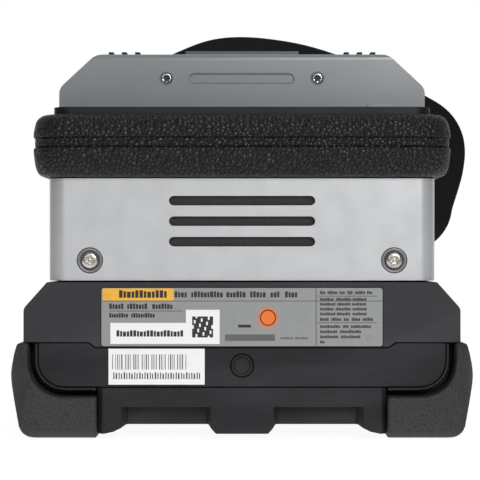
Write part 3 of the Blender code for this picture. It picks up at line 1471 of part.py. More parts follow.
skid_plate()
chassis_tray()
access_plug()
lower_housing()
labels()
foot("foot_rear_right", 1, 1)
foot("foot_rear_left", -1, 1)
foot("foot_front_right", 1, -1)
foot("foot_front_left", -1, -1)
battery()
battery_latch()
port_block()
port_flap()
rear_cover()
rear_screws()
vent_filter()
fan()
electronics()
front_cover()
upper_housing()
bumper_band()
top_deck()
covers()
cover_trim()
hinge_pins()
splice_base()
stage("stage_left", -1)
stage("stage_right", 1)
sheath_clamp("sheath_clamp_left", -1)
sheath_clamp("sheath_clamp_right", 1)
groove_block("v_groove_left", -1)
groove_block("v_groove_right", 1)
electrode("electrode_rear", 1)
electrode("electrode_front", -1)
lens_block()
cover_motor()
heater()
monitor()
strap_anchor("strap_anchor_left", -1)
strap_anchor("strap_anchor_right", 1)
strap()
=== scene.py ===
"""The looks of a fusion splicer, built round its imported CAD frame, in metres unless a name says mm."""

import json
import math

import bmesh
import bpy
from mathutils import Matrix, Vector, noise


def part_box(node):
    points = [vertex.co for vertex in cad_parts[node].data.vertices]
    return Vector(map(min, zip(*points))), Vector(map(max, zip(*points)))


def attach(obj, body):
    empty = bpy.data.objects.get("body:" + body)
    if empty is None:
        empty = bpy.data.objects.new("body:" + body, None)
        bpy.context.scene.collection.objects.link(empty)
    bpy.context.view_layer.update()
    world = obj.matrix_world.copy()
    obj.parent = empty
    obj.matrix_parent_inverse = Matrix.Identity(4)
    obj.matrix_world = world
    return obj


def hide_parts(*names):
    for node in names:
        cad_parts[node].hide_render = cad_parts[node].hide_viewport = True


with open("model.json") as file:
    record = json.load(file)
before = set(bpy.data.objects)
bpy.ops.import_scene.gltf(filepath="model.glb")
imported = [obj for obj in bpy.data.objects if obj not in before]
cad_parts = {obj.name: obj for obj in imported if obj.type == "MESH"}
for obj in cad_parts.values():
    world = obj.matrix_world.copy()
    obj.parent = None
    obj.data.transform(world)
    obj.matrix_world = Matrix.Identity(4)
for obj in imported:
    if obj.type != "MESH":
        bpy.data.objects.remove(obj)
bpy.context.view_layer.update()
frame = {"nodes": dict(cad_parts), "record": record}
NODES = frame["nodes"]
BODY = {node: body for body, members in frame["record"]["behaviour"]["bodies"].items() for node in members}
MM = 0.001


# ---- Camera, floor and light -------------------------------------------------------------------

scene = bpy.context.scene
scene.view_settings.view_transform = "Standard"

camera = bpy.data.objects.new("camera", bpy.data.cameras.new("camera"))
scene.collection.objects.link(camera)
scene.camera = camera
camera.location = (0, 0.784, 0.072)
camera.rotation_euler = (math.pi / 2, 0, math.pi)
camera.data.sensor_width = 36
camera.data.lens = 135.4
camera.data.shift_x = -2 / 480
camera.data.shift_y = 13.2 / 480
camera.data.clip_start = 0.05
camera.data.clip_end = 50


def softbox(name, place, target, size, power):
    light = bpy.data.lights.new(name, "AREA")
    light.shape = "RECTANGLE"
    light.size, light.size_y = size
    light.energy = power
    holder = bpy.data.objects.new(name, light)
    scene.collection.objects.link(holder)
    holder.location = place
    holder.rotation_euler = (Vector(target) - Vector(place)).to_track_quat("-Z", "Y").to_euler()


softbox("key", (-0.4, 1.4, 0.7), (0, 0.05, 0.08), (0.55, 0.5), 10)
softbox("rear_fill", (0.4, 1.5, 0.5), (0, 0.05, 0.08), (0.5, 0.5), 1.2)
softbox("top", (0, -0.05, 1.1), (0, 0, 0), (1.3, 1.3), 3.4)


def studio_world():
    """White to the camera. What lights the object is brighter before and behind it than at its sides."""
    world = bpy.data.worlds.new("studio")
    scene.world = world
    world.use_nodes = True
    tree = world.node_tree
    tree.nodes.clear()
    out = tree.nodes.new("ShaderNodeOutputWorld")
    place = tree.nodes.new("ShaderNodeTexCoord").outputs["Generated"]
    split = tree.nodes.new("ShaderNodeSeparateXYZ")
    tree.links.new(place, split.inputs[0])
    ramp = tree.nodes.new("ShaderNodeMapRange")
    ramp.interpolation_type = "SMOOTHSTEP"
    tree.links.new(split.outputs["Y"], ramp.inputs["Value"])
    for socket, value in (("From Min", -0.35), ("From Max", -0.85), ("To Min", 0.1), ("To Max", 0.7)):
        ramp.inputs[socket].default_value = value
    lit = tree.nodes.new("ShaderNodeBackground")
    tree.links.new(ramp.outputs[0], lit.inputs["Strength"])
    seen = tree.nodes.new("ShaderNodeBackground")
    seen.inputs["Strength"].default_value = 1.0
    path = tree.nodes.new("ShaderNodeLightPath")
    for background in (lit, seen):
        background.inputs["Color"].default_value = (1, 1, 1, 1)
    mixed = tree.nodes.new("ShaderNodeMixShader")
    tree.links.new(path.outputs["Is Camera Ray"], mixed.inputs[0])
    tree.links.new(lit.outputs[0], mixed.inputs[1])
    tree.links.new(seen.outputs[0], mixed.inputs[2])
    tree.links.new(mixed.outputs[0], out.inputs["Surface"])


studio_world()


# ---- Materials -----------------------------------------------------------------------------------


def srgb(red, green, blue):
    """A colour given as 0 to 255 on screen, as the shader's linear numbers."""
    found = []
    for value in (red, green, blue):
        value /= 255
        found.append(value / 12.92 if value <= 0.04045 else ((value + 0.055) / 1.055) ** 2.4)
    return (*found, 1.0)


class Look:
    """A material, and short ways to add the nodes that feed its shader."""

    def __init__(self, name, **constants):
        self.material = bpy.data.materials.new(name)
        self.material.use_nodes = True
        self.tree = self.material.node_tree
        self.shader = self.tree.nodes["Principled BSDF"]
        for socket, value in constants.items():
            self.shader.inputs[socket.replace("_", " ")].default_value = value
        self.place = self.node("ShaderNodeTexCoord").outputs["Object"]

    def node(self, kind, settings=None, **inputs):
        made = self.tree.nodes.new(kind)
        for name, value in (settings or {}).items():
            setattr(made, name, value)
        for name, value in inputs.items():
            self.feed(made.inputs[name.replace("_", " ")], value)
        return made

    def feed(self, socket, value):
        if isinstance(value, bpy.types.NodeSocket):
            self.tree.links.new(value, socket)
        else:
            socket.default_value = value

    def noise(self, size_mm, detail=3.0, place=None, rough=0.55):
        made = self.node("ShaderNodeTexNoise", Scale=1000 / size_mm, Detail=detail, Roughness=rough)
        self.feed(made.inputs["Vector"], place or self.place)
        return made.outputs["Fac"]

    def cells(self, size_mm, feature="F1", place=None, output="Distance", spread=1.0):
        made = self.node(
            "ShaderNodeTexVoronoi", {"feature": feature}, Scale=1000 / size_mm, Randomness=spread
        )
        self.feed(made.inputs["Vector"], place or self.place)
        return made.outputs[output]

    def math(self, operation, a, b=0.0):
        made = self.node("ShaderNodeMath", {"operation": operation})
        for socket, value in zip(made.inputs, (a, b)):
            self.feed(socket, value)
        return made.outputs[0]

    def span(self, value, low, high, start=0.0, end=1.0):
        """value, from low to high, made to run from start to end with soft ends."""
        made = self.node(
            "ShaderNodeMapRange",
            {"interpolation_type": "SMOOTHSTEP"},
            Value=value,
            From_Min=low,
            From_Max=high,
            To_Min=start,
            To_Max=end,
        )
        return made.outputs[0]

    def mix(self, factor, a, b):
        made = self.node("ShaderNodeMix", {"data_type": "RGBA"})
        for socket, value in zip((made.inputs[0], made.inputs[6], made.inputs[7]), (factor, a, b)):
            self.feed(socket, value)
        return made.outputs[2]

    def stretched(self, x, y, z):
        made = self.node("ShaderNodeMapping", {"vector_type": "POINT"}, Vector=self.place, Scale=(x, y, z))
        return made.outputs[0]

    def warped(self, size_mm, by_mm, place=None):
        """The place, moved about by a noise."""
        source = self.node("ShaderNodeTexNoise", Scale=1000 / size_mm, Detail=2.0)
        self.feed(source.inputs["Vector"], place or self.place)
        centred = self.node("ShaderNodeVectorMath", {"operation": "SUBTRACT"})
        self.feed(centred.inputs[0], source.outputs["Color"])
        centred.inputs[1].default_value = (0.5, 0.5, 0.5)
        moved = self.node("ShaderNodeVectorMath", {"operation": "MULTIPLY_ADD"})
        self.feed(moved.inputs[0], centred.outputs[0])
        moved.inputs[1].default_value = (by_mm * 2 * MM,) * 3
        self.feed(moved.inputs[2], place or self.place)
        return moved.outputs[0]

    def bump(self, height, depth_mm, strength=1.0, over=None):
        made = self.node("ShaderNodeBump", Height=height, Distance=depth_mm * MM, Strength=strength)
        if over is not None:
            self.feed(made.inputs["Normal"], over)
        return made.outputs[0]

    def done(self, colour, roughness, normal=None):
        self.feed(self.shader.inputs["Base Color"], colour)
        self.feed(self.shader.inputs["Roughness"], roughness)
        if normal is not None:
            self.feed(self.shader.inputs["Normal"], normal)
        return self.material


def metallic_paint(name, colour, dark, metallic=0.45, rough=0.38):
    """Satin lacquer over fine flake: a faint sparkle, orange peel and uneven gloss."""
    look = Look(name, Metallic=metallic, Coat_Weight=0.15, Coat_Roughness=0.25)
    flake = look.span(look.cells(0.16, output="Color"), 0.2, 0.9, 0.0, 0.55)
    cloud = look.span(look.noise(38, 2), 0.35, 0.7, 0.0, 0.14)
    tint = look.mix(look.math("MAXIMUM", flake, cloud), colour, dark)
    peel = look.bump(look.noise(1.6, 2), 0.012, 0.7)
    grit = look.bump(look.noise(0.22, 1), 0.004, 0.6, peel)
    return look.done(tint, look.span(look.noise(9, 3), 0.3, 0.7, rough - 0.015, rough + 0.025), grit)


def moulded_plastic(name, colour, light, grain_mm=0.45, depth_mm=0.02, rough=0.55, gleam=0.34):
    """Spark-eroded texture, paler in clouds and long rubs where handling has polished it."""
    look = Look(name, Specular_IOR_Level=gleam)
    grain = look.noise(grain_mm, 3, rough=0.65)
    pits = look.cells(grain_mm * 1.7, "SMOOTH_F1")
    worn = look.span(look.noise(22, 5, look.stretched(0.45, 1, 1.3)), 0.36, 0.7, 0.05, 0.6)
    rubs = look.span(look.noise(2.4, 2, look.stretched(0.12, 0.12, 1)), 0.55, 0.8, 0.0, 0.25)
    tint = look.mix(
        look.math("ADD", look.math("MULTIPLY", grain, 0.35), look.math("ADD", worn, rubs)), colour, light
    )
    height = look.math("ADD", look.math("MULTIPLY", grain, 0.7), look.math("MULTIPLY", pits, 0.3))
    gloss = look.math(
        "ADD", look.span(worn, 0.0, 0.6, rough + 0.05, rough - 0.05), look.math("MULTIPLY", grain, 0.06)
    )
    return look.done(tint, gloss, look.bump(height, depth_mm, 0.9))


def grained_rubber(name, crease_shade, top, cell_mm, depth_mm, rough=0.55):
    """Leather grain: raised pebbles, with painted shade darkening the hollows between them and their tops
    painted lighter.
    """
    look = Look(name, Specular_IOR_Level=0.38)
    place = look.warped(cell_mm * 1.9, cell_mm * 0.28)
    edge = look.cells(cell_mm, "DISTANCE_TO_EDGE", place)
    dome = look.cells(cell_mm, "SMOOTH_F1", place)
    fine = look.noise(cell_mm * 0.22, 2)
    raised = look.span(edge, 0.0, 0.16)
    pebble = look.math("SUBTRACT", 1.0, look.math("MULTIPLY", look.math("MULTIPLY", dome, dome), 2.2))
    height = look.math("ADD", look.math("MULTIPLY", raised, 0.45), look.math("MULTIPLY", pebble, 0.55))
    height = look.math("ADD", height, look.math("MULTIPLY", fine, 0.06))
    cloud = look.span(look.noise(18, 3), 0.35, 0.7, 0.7, 1.0)
    # Painted shade: the colour runs from the shade colour in the hollows to the lighter top colour on the
    # pebbles.
    tint = look.mix(look.math("MULTIPLY", raised, cloud), crease_shade, top)
    gloss = look.math("ADD", look.span(raised, 0, 1, rough + 0.2, rough), look.math("MULTIPLY", fine, 0.08))
    return look.done(tint, gloss, look.bump(height, depth_mm, 1.0))


def metal(name, colour, dark, rough=0.25, grain=(1, 1, 1), grain_mm=0.4, depth_mm=0.004):
    """Plated, turned or blasted metal, with its marks along one way."""
    look = Look(name, Metallic=1.0)
    marks = look.noise(grain_mm, 3, look.stretched(*grain))
    stain = look.span(look.noise(5, 4), 0.4, 0.75, 0.0, 0.6)
    tint = look.mix(look.math("ADD", look.math("MULTIPLY", marks, 0.25), stain), colour, dark)
    gloss = look.math(
        "ADD", look.span(marks, 0.3, 0.7, rough - 0.05, rough + 0.08), look.math("MULTIPLY", stain, 0.12)
    )
    return look.done(tint, gloss, look.bump(marks, depth_mm, 0.8))


def printed_film(name, colour, dark, rough=0.42, metallic=0.0, grain=(1, 1, 1)):
    """A printed or coated film: faint streaks, dust and a slight waviness where it is stuck down."""
    look = Look(name, Metallic=metallic, Specular_IOR_Level=0.45)
    streak = look.noise(0.5, 2, look.stretched(*grain))
    dust = look.span(look.noise(6, 5), 0.52, 0.75, 0.0, 0.5)
    tint = look.mix(look.math("ADD", look.math("MULTIPLY", streak, 0.3), dust), colour, dark)
    wave = look.bump(look.noise(7, 1), 0.03, 0.5)
    return look.done(tint, look.span(dust, 0, 0.5, rough, rough + 0.15), look.bump(streak, 0.004, 0.5, wave))


YARN_RIB_MM, YARN_MM = 1.5, 1.1


def webbing_cloth():
    """Ribs of yarn laid aslant the strap. Its coordinates are millimetres across and along."""
    look = Look("webbing_cloth", Specular_IOR_Level=0.2, Sheen_Weight=0.04, Sheen_Roughness=0.5)
    cloth = look.node("ShaderNodeUVMap", {"uv_map": "weave"}).outputs[0]
    split = look.node("ShaderNodeSeparateXYZ", Vector=cloth)
    across, along = split.outputs[0], split.outputs[1]
    aslant = look.math("ADD", look.math("MULTIPLY", look.math("ABSOLUTE", across), 0.55), along)
    ribs = look.math("SINE", look.math("MULTIPLY", aslant, 2 * math.pi / YARN_RIB_MM))
    yarns = look.math("SINE", look.math("MULTIPLY", across, 2 * math.pi / YARN_MM))
    over = look.math(
        "MULTIPLY", look.math("ADD", ribs, 1.0), look.math("ADD", look.math("MULTIPLY", yarns, 0.4), 1.0)
    )
    fibre = look.noise(0.25, 3)
    height = look.math("ADD", look.math("MULTIPLY", over, 0.5), look.math("MULTIPLY", fibre, 0.5))
    worn = look.span(look.noise(14, 3), 0.45, 0.7, 0.0, 0.35)
    # Painted shade: the colour is darker in the grooves between ribs and yarns than on their crests; the
    # paler clouds are wear.
    tint = look.mix(
        look.math("ADD", look.math("MULTIPLY", over, 0.35), worn), srgb(4, 4, 5), srgb(20, 20, 22)
    )
    return look.done(tint, look.span(fibre, 0.3, 0.7, 0.75, 0.92), look.bump(height, 0.12, 0.9))


LIT_HALF_WIDTH, LIT_HALF_HEIGHT = 0.051, 0.0285


def screen_glass():
    """Smeared glass over a dark margin and a slightly paler picture area."""
    look = Look("screen_glass", Coat_Weight=0.4, Coat_Roughness=0.03, Specular_IOR_Level=0.6)
    smear = look.span(look.noise(13, 4, look.stretched(1, 1, 0.6)), 0.45, 0.75)
    split = look.node("ShaderNodeSeparateXYZ", Vector=look.place)
    low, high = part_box("monitor_screen")
    middle = (low + high) / 2
    aside = look.math("ABSOLUTE", look.math("SUBTRACT", split.outputs[0], middle.x))
    upright = look.math("ABSOLUTE", look.math("SUBTRACT", split.outputs[2], middle.z))
    lit = look.math(
        "MULTIPLY",
        look.math("LESS_THAN", aside, LIT_HALF_WIDTH),
        look.math("LESS_THAN", upright, LIT_HALF_HEIGHT),
    )
    tint = look.mix(lit, srgb(16, 17, 19), srgb(30, 34, 40))
    return look.done(tint, look.span(smear, 0, 1, 0.05, 0.22), look.bump(look.noise(9, 1), 0.01, 0.2))


def circuit_board():
    """Green lacquer over copper tracks, with gilded pads."""
    look = Look("circuit_board", Coat_Weight=0.5, Coat_Roughness=0.15)
    tracks = look.cells(2.6, "DISTANCE_TO_EDGE", look.stretched(1, 1, 0.2), spread=0.35)
    track = look.span(tracks, 0.05, 0.07, 1, 0)
    pads = look.span(look.cells(4.2, place=look.stretched(1, 1, 0.2), spread=0.2), 0.16, 0.19, 1, 0)
    green = look.mix(track, srgb(12, 74, 44), srgb(34, 112, 70))
    tint = look.mix(pads, green, srgb(196, 176, 110))
    return look.done(
        tint, look.span(pads, 0, 1, 0.42, 0.25), look.bump(look.math("ADD", track, pads), 0.03, 0.7)
    )


def filter_foam():
    """Open-cell foam behind the vent slots."""
    look = Look("filter_foam", Specular_IOR_Level=0.2)
    pore = look.cells(0.5, "SMOOTH_F1")
    # Painted shade: the foam is coloured darker where the bump makes its pores dip.
    tint = look.mix(look.span(pore, 0.1, 0.5), srgb(72, 71, 73), srgb(60, 59, 61))
    return look.done(tint, look.span(look.noise(0.5), 0.3, 0.7, 0.8, 0.98), look.bump(pore, 0.1, -0.4))


def ceramic_look():
    """Ground ceramic, faintly specked."""
    look = Look("ceramic", Subsurface_Weight=0.05)
    speck = look.span(look.noise(0.7, 4), 0.5, 0.7, 0.0, 0.6)
    tint = look.mix(speck, srgb(236, 233, 224), srgb(205, 200, 186))
    return look.done(
        tint, look.span(look.noise(3, 3), 0.3, 0.7, 0.28, 0.42), look.bump(look.noise(0.3, 2), 0.006, 0.6)
    )


SILVER = metallic_paint("silver_paint", srgb(217, 219, 221), srgb(200, 202, 204), 0.6, 0.35)
GREY = metallic_paint("grey_paint", srgb(137, 141, 144), srgb(122, 126, 129), 0.4, 0.38)
DARK_GREY = metallic_paint("dark_grey_paint", srgb(96, 99, 102), srgb(76, 79, 82), 0.3)
PLASTIC = moulded_plastic("black_plastic", srgb(44, 44, 48), srgb(60, 60, 65))
FINE_PLASTIC = moulded_plastic("fine_black_plastic", srgb(20, 20, 22), srgb(38, 38, 41), 0.3, 0.01, 0.45)
BASE_PLASTIC = moulded_plastic("base_plastic", srgb(26, 26, 29), srgb(46, 46, 50), 0.5, 0.025, 0.6, 0.3)
# Each rubber's first colour is painted shade for the hollows between its pebbles; the second is for the
# pebble tops, painted lighter.
BAND_RUBBER = grained_rubber("band_rubber", srgb(5, 5, 6), srgb(32, 32, 35), 1.7, 0.7, 0.34)
FOOT_RUBBER = grained_rubber("foot_rubber", srgb(40, 40, 41), srgb(58, 58, 61), 1.0, 0.1, 0.55)
PLAIN_RUBBER = moulded_plastic("plain_rubber", srgb(34, 34, 36), srgb(54, 54, 57), 0.35, 0.03, 0.7)
STEEL = metal("plated_steel", srgb(214, 210, 202), srgb(160, 152, 140))
BRIGHT_STEEL = metal("bright_steel", srgb(228, 229, 231), srgb(176, 178, 180), 0.2, (0.05, 1, 1))
DARK_STEEL = metal("dark_steel", srgb(66, 66, 70), srgb(40, 40, 43), 0.3)
ALUMINIUM = metal("anodised_aluminium", srgb(196, 198, 201), srgb(164, 166, 170), 0.42, (1, 1, 1), 0.18, 0.01)
CERAMIC = ceramic_look()
FOAM = filter_foam()
BOARD = circuit_board()
FOIL = printed_film("label_foil", srgb(156, 158, 158), srgb(140, 142, 143), 0.4, 0.25, (0.08, 1, 1))
PAPER = printed_film("sticker_paper", srgb(250, 250, 250), srgb(240, 240, 239), 0.5)
AMBER = printed_film("amber_ink", srgb(250, 190, 62), srgb(226, 164, 40), 0.4)
ORANGE = printed_film("orange_ink", srgb(244, 124, 52), srgb(226, 106, 40), 0.4)
# Black print ink, also used for the rings and socket fills of painted shade on the screws.
INK_AND_SHADE = printed_film("black_ink_and_shade", srgb(34, 34, 36), srgb(58, 58, 60), 0.45)
GREY_INK = printed_film("grey_ink", srgb(92, 94, 95), srgb(112, 114, 115), 0.45)
SCREEN = screen_glass()
WEBBING = webbing_cloth()
WRAP = moulded_plastic("battery_wrap", srgb(44, 44, 48), srgb(62, 62, 66), 0.28, 0.012, 0.45)


# ---- Making pieces -------------------------------------------------------------------------------


def piece(name, mesh, look, body, stands_for, smooth):
    """Adds a mesh as a piece with one or more materials, riding on its body. It's smooth up to that angle."""
    made = bpy.data.objects.new(name, mesh)
    scene.collection.objects.link(made)
    if mesh.materials:
        mesh.materials.clear()
    for material in look if isinstance(look, (list, tuple)) else [look]:
        mesh.materials.append(material)
    mesh.shade_smooth()
    if smooth:
        mesh.set_sharp_from_angle(angle=math.radians(smooth))
    if stands_for:
        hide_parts(*stands_for)
    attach(made, body)
    return made


def mesh_of(name, shape):
    """A mesh from a bmesh, with its faces pointing out."""
    bmesh.ops.recalc_face_normals(shape, faces=shape.faces)
    mesh = bpy.data.meshes.new(name)
    shape.to_mesh(mesh)
    shape.free()
    return mesh


def curved(points, steps):
    """A smooth curve through points of any number of dimensions."""
    knots = [Vector(p) for p in (points[0], *points, points[-1])]
    found = []
    for a, b, c, d in zip(knots, knots[1:], knots[2:], knots[3:]):
        for k in range(steps):
            t = k / steps
            bend, twist = 2 * a - 5 * b + 4 * c - d, 3 * b - a - 3 * c + d
            found.append(0.5 * (2 * b + (c - a) * t + bend * t * t + twist * t**3))
    found.append(knots[-2])
    return found


def loft(shape, rings, closed=False):
    """Skins rings of points, each closed in itself. The last joins the first, or both ends are capped."""
    for first, second in zip(rings, rings[1:] + rings[:1] if closed else rings[1:]):
        for k in range(len(first)):
            after = (k + 1) % len(first)
            shape.faces.new((first[k], first[after], second[after], second[k]))
    if not closed:
        shape.faces.new(rings[0])
        shape.faces.new(rings[-1])


def finished(source, *modifiers):
    """A mesh with modifiers, given as (kind, settings), worked into it."""
    holder = bpy.data.objects.new("holder", source)
    scene.collection.objects.link(holder)
    for kind, settings in modifiers:
        made = holder.modifiers.new(kind, kind)
        for name, value in settings.items():
            setattr(made, name, value)
    graph = bpy.context.evaluated_depsgraph_get()
    mesh = bpy.data.meshes.new_from_object(holder.evaluated_get(graph))
    bpy.data.objects.remove(holder)
    return mesh


def solid_of(*nodes):
    """The CAD nodes' surface with its flat faces whole again."""
    shape = bmesh.new()
    for node in nodes:
        shape.from_mesh(NODES[node].data)
    bmesh.ops.remove_doubles(shape, verts=shape.verts, dist=2e-6)
    bmesh.ops.dissolve_limit(shape, angle_limit=math.radians(0.8), verts=shape.verts, edges=shape.edges)
    mesh = bpy.data.meshes.new(nodes[0] + "_skin")
    shape.to_mesh(mesh)
    shape.free()
    for name in ("custom_normal", "sharp_edge", "sharp_face"):
        if name in mesh.attributes:
            mesh.attributes.remove(mesh.attributes[name])
    return mesh


def eased(node, look, width_mm):
    """Stands for a CAD node whose shape is right, with its sharp edges eased as a mould leaves them."""
    bevel = {
        "width": width_mm * MM,
        "segments": 2,
        "limit_method": "ANGLE",
        "angle_limit": math.radians(30),
        "use_clamp_overlap": True,
        "miter_outer": "MITER_ARC",
    }
    source = solid_of(node)
    source.shade_smooth()
    mesh = finished(source, ("BEVEL", bevel), ("WEIGHTED_NORMAL", {"weight": 60, "keep_sharp": True}))
    return piece(node + "_skin", mesh, look, BODY[node], (node,), smooth=0)


def lathe(profile, middle, steps, lobes=None):
    """Turns (radius, y), in mm, about a line along Y. The rings first to last of lobes are six-lobed."""
    shape = bmesh.new()
    rings = []
    for index, (radius, along) in enumerate(profile):
        if radius == 0:
            rings.append([shape.verts.new((middle[0], along * MM, middle[1]))])
            continue
        ring = []
        for k in range(steps):
            angle = 2 * math.pi * k / steps
            reach = radius * MM
            if lobes and lobes[0] <= index <= lobes[1]:
                reach *= 1 + lobes[2] * math.cos(6 * angle)
            ring.append(
                shape.verts.new(
                    (middle[0] + reach * math.cos(angle), along * MM, middle[1] + reach * math.sin(angle))
                )
            )
        rings.append(ring)
    for first, second in zip(rings, rings[1:]):
        for k in range(steps):
            after = (k + 1) % steps
            if len(first) == 1 and len(second) > 1:
                shape.faces.new((first[0], second[k], second[after]))
            elif len(second) == 1 and len(first) > 1:
                shape.faces.new((first[k], first[after], second[0]))
            elif len(first) > 1:
                shape.faces.new((first[k], first[after], second[after], second[k]))
    return mesh_of("lathe", shape)


def box_into(shape, low, high, index=0):
    """A closed box in a bmesh, in mm."""
    (x0, y0, z0), (x1, y1, z1) = low, high
    corners = [
        shape.verts.new((x * MM, y * MM, z * MM)) for x in (x0, x1) for y in (y0, y1) for z in (z0, z1)
    ]
    for quad in ((0, 1, 3, 2), (4, 6, 7, 5), (0, 4, 5, 1), (2, 3, 7, 6), (0, 2, 6, 4), (1, 5, 7, 3)):
        shape.faces.new([corners[k] for k in quad]).material_index = index


# ---- Strap ---------------------------------------------------------------------------------------

# As in the CAD: x, y, z in millimetres, and the turn about the line in degrees.
STRAP_ROUTE = (
    (-79.3, -60.0, 64.5, 0),
    (-79.3, -60.0, 71.2, 0),
    (-80.6, -60.3, 75.4, 13),
    (-83.6, -60.8, 79.6, 32),
    (-87.0, -61.3, 84.0, 48),
    (-89.6, -61.9, 89.4, 57),
    (-91.2, -62.5, 96.0, 58),
    (-93.8, -63.2, 104.0, 58),
    (-96.0, -64.0, 112.0, 58),
    (-96.9, -64.5, 120.4, 58),
    (-95.6, -65.3, 127.6, 57),
    (-91.4, -66.2, 134.0, 55),
    (-83.4, -67.0, 139.6, 52),
    (-66.0, -67.5, 149.0, 47),
    (-47.0, -68.0, 158.2, 43),
    (-30.0, -68.0, 163.9, 42),
    (-14.0, -68.0, 166.9, 42),
    (1.0, -68.0, 168.0, 42),
    (14.0, -68.0, 166.6, 42),
    (27.0, -68.0, 162.1, 40),
    (42.0, -67.8, 155.4, 36),
    (58.0, -67.2, 147.6, 30),
    (72.0, -66.4, 139.6, 22),
    (82.0, -65.4, 130.8, 13),
    (85.6, -64.4, 120.0, 4),
    (84.8, -63.4, 108.0, 2),
    (82.6, -62.0, 96.0, 0),
    (80.6, -60.8, 84.5, 0),
    (79.3, -60.0, 72.0, 0),
    (79.3, -60.0, 64.5, 0),
)
STRAP_WIDTH = 20.0
STRAP_THICK = 1.6


def strap_line(steps):
    """Points along the strap in mm, each with the turn of the webbing there."""
    return [(Vector(point[:3]), math.radians(point[3])) for point in curved(STRAP_ROUTE, steps)]


def strap_section():
    """(across, through) in mm, and how far round: a flat band with soft edges and thicker selvedges."""
    half, thick = STRAP_WIDTH / 2 - 0.05, STRAP_THICK / 2
    top = [
        (-half + 0.8, thick),
        (-half + 2.2, thick - 0.12),
        (-3.0, thick - 0.16),
        (3.0, thick - 0.16),
        (half - 2.2, thick - 0.12),
        (half - 0.8, thick),
    ]
    right = [(half - 0.25, thick - 0.3), (half, 0.0), (half - 0.25, 0.3 - thick)]
    return top + right + [(-a, -b) for a, b in top] + [(-a, -b) for a, b in right]


def strap():
    """Webbing swept along its route, with its own place across and along it kept for the weave."""
    line = strap_line(9)
    section = strap_section()
    shape = bmesh.new()
    weave = shape.loops.layers.uv.new("weave")
    rings, travelled, length = [], [], 0.0
    for i, (point, turn) in enumerate(line):
        ahead, behind = line[min(i + 1, len(line) - 1)][0], line[max(i - 1, 0)][0]
        along = (ahead - behind).normalized()
        across = Vector((0, 1, 0))
        across = (across - along * across.dot(along)).normalized()
        out = across.cross(along)
        wide = across * math.cos(turn) + out * math.sin(turn)
        through = wide.cross(along).normalized()
        if i:
            length += (point - line[i - 1][0]).length
        travelled.append(length)
        rings.append([shape.verts.new((point + wide * a + through * b) * MM) for a, b in section])
    count = len(section)
    for i in range(len(rings) - 1):
        for k in range(count):
            after = (k + 1) % count
            face = shape.faces.new((rings[i][k], rings[i][after], rings[i + 1][after], rings[i + 1][k]))
            for loop, (a, b) in zip(face.loops, ((k, i), (after, i), (after, i + 1), (k, i + 1))):
                loop[weave].uv = (section[a][0], travelled[b])
    shape.faces.new(rings[0])
    shape.faces.new(rings[-1])
    mesh = mesh_of("strap_webbing", shape)
    made = piece("strap_webbing", mesh, WEBBING, "base", ("strap",), smooth=60)


strap()


# ---- Bumper band -----------------------------------------------------------------------------------

# Height above its own foot and how far it stands out, in mm: two soft lobes, and between them
# a flat channel with a groove on each side.
BAND_LOWER = (
    (0.1, 0.2),
    (0.15, 1.8),
    (0.8, 3.5),
    (2.0, 4.6),
    (4.3, 5.5),
    (7.4, 6.0),
    (10.2, 6.3),
    (11.2, 6.3),
)
BAND_CHANNEL = (
    (11.5, 6.1),
    (11.62, 5.15),
    (11.78, 5.1),
    (11.95, 5.65),
    (13.5, 5.75),
    (15.1, 5.65),
    (15.25, 5.1),
    (15.4, 5.15),
    (15.5, 6.1),
)
BAND_UPPER = (
    (15.9, 6.3),
    (17.4, 6.25),
    (19.2, 5.9),
    (21.6, 5.3),
    (23.2, 4.2),
    (24.2, 2.7),
    (24.55, 1.2),
    (24.6, 0.2),
)
BAND_CORNER = 7.0  # mm, the body's corner under the band
BAND_MOST = 6.35  # mm that the band may stand out
BAND_END = 3.5  # mm over which it rounds off at its front ends
SIDE_STEPS, CORNER_STEPS = 60, 24


def band_line(half, front, rear):
    """(x, y, nx, ny): the corners' centres and the body's sides in mm, and the way the band faces there."""
    turned = half - BAND_CORNER
    back = rear - BAND_CORNER
    sides = range(1, SIDE_STEPS + 1)
    line = [(half, front + (back - front) * k / SIDE_STEPS, 1.0, 0.0) for k in (0, *sides)]
    for k in range(1, CORNER_STEPS + 1):
        angle = math.radians(90 * k / CORNER_STEPS)
        line.append((turned, back, math.cos(angle), math.sin(angle)))
    line += [(turned - 2 * turned * k / SIDE_STEPS, back, 0.0, 1.0) for k in sides]
    for k in range(1, CORNER_STEPS + 1):
        angle = math.radians(90 + 90 * k / CORNER_STEPS)
        line.append((-turned, back, math.cos(angle), math.sin(angle)))
    line += [(-half, back - (back - front) * k / SIDE_STEPS, -1.0, 0.0) for k in sides]
    return line


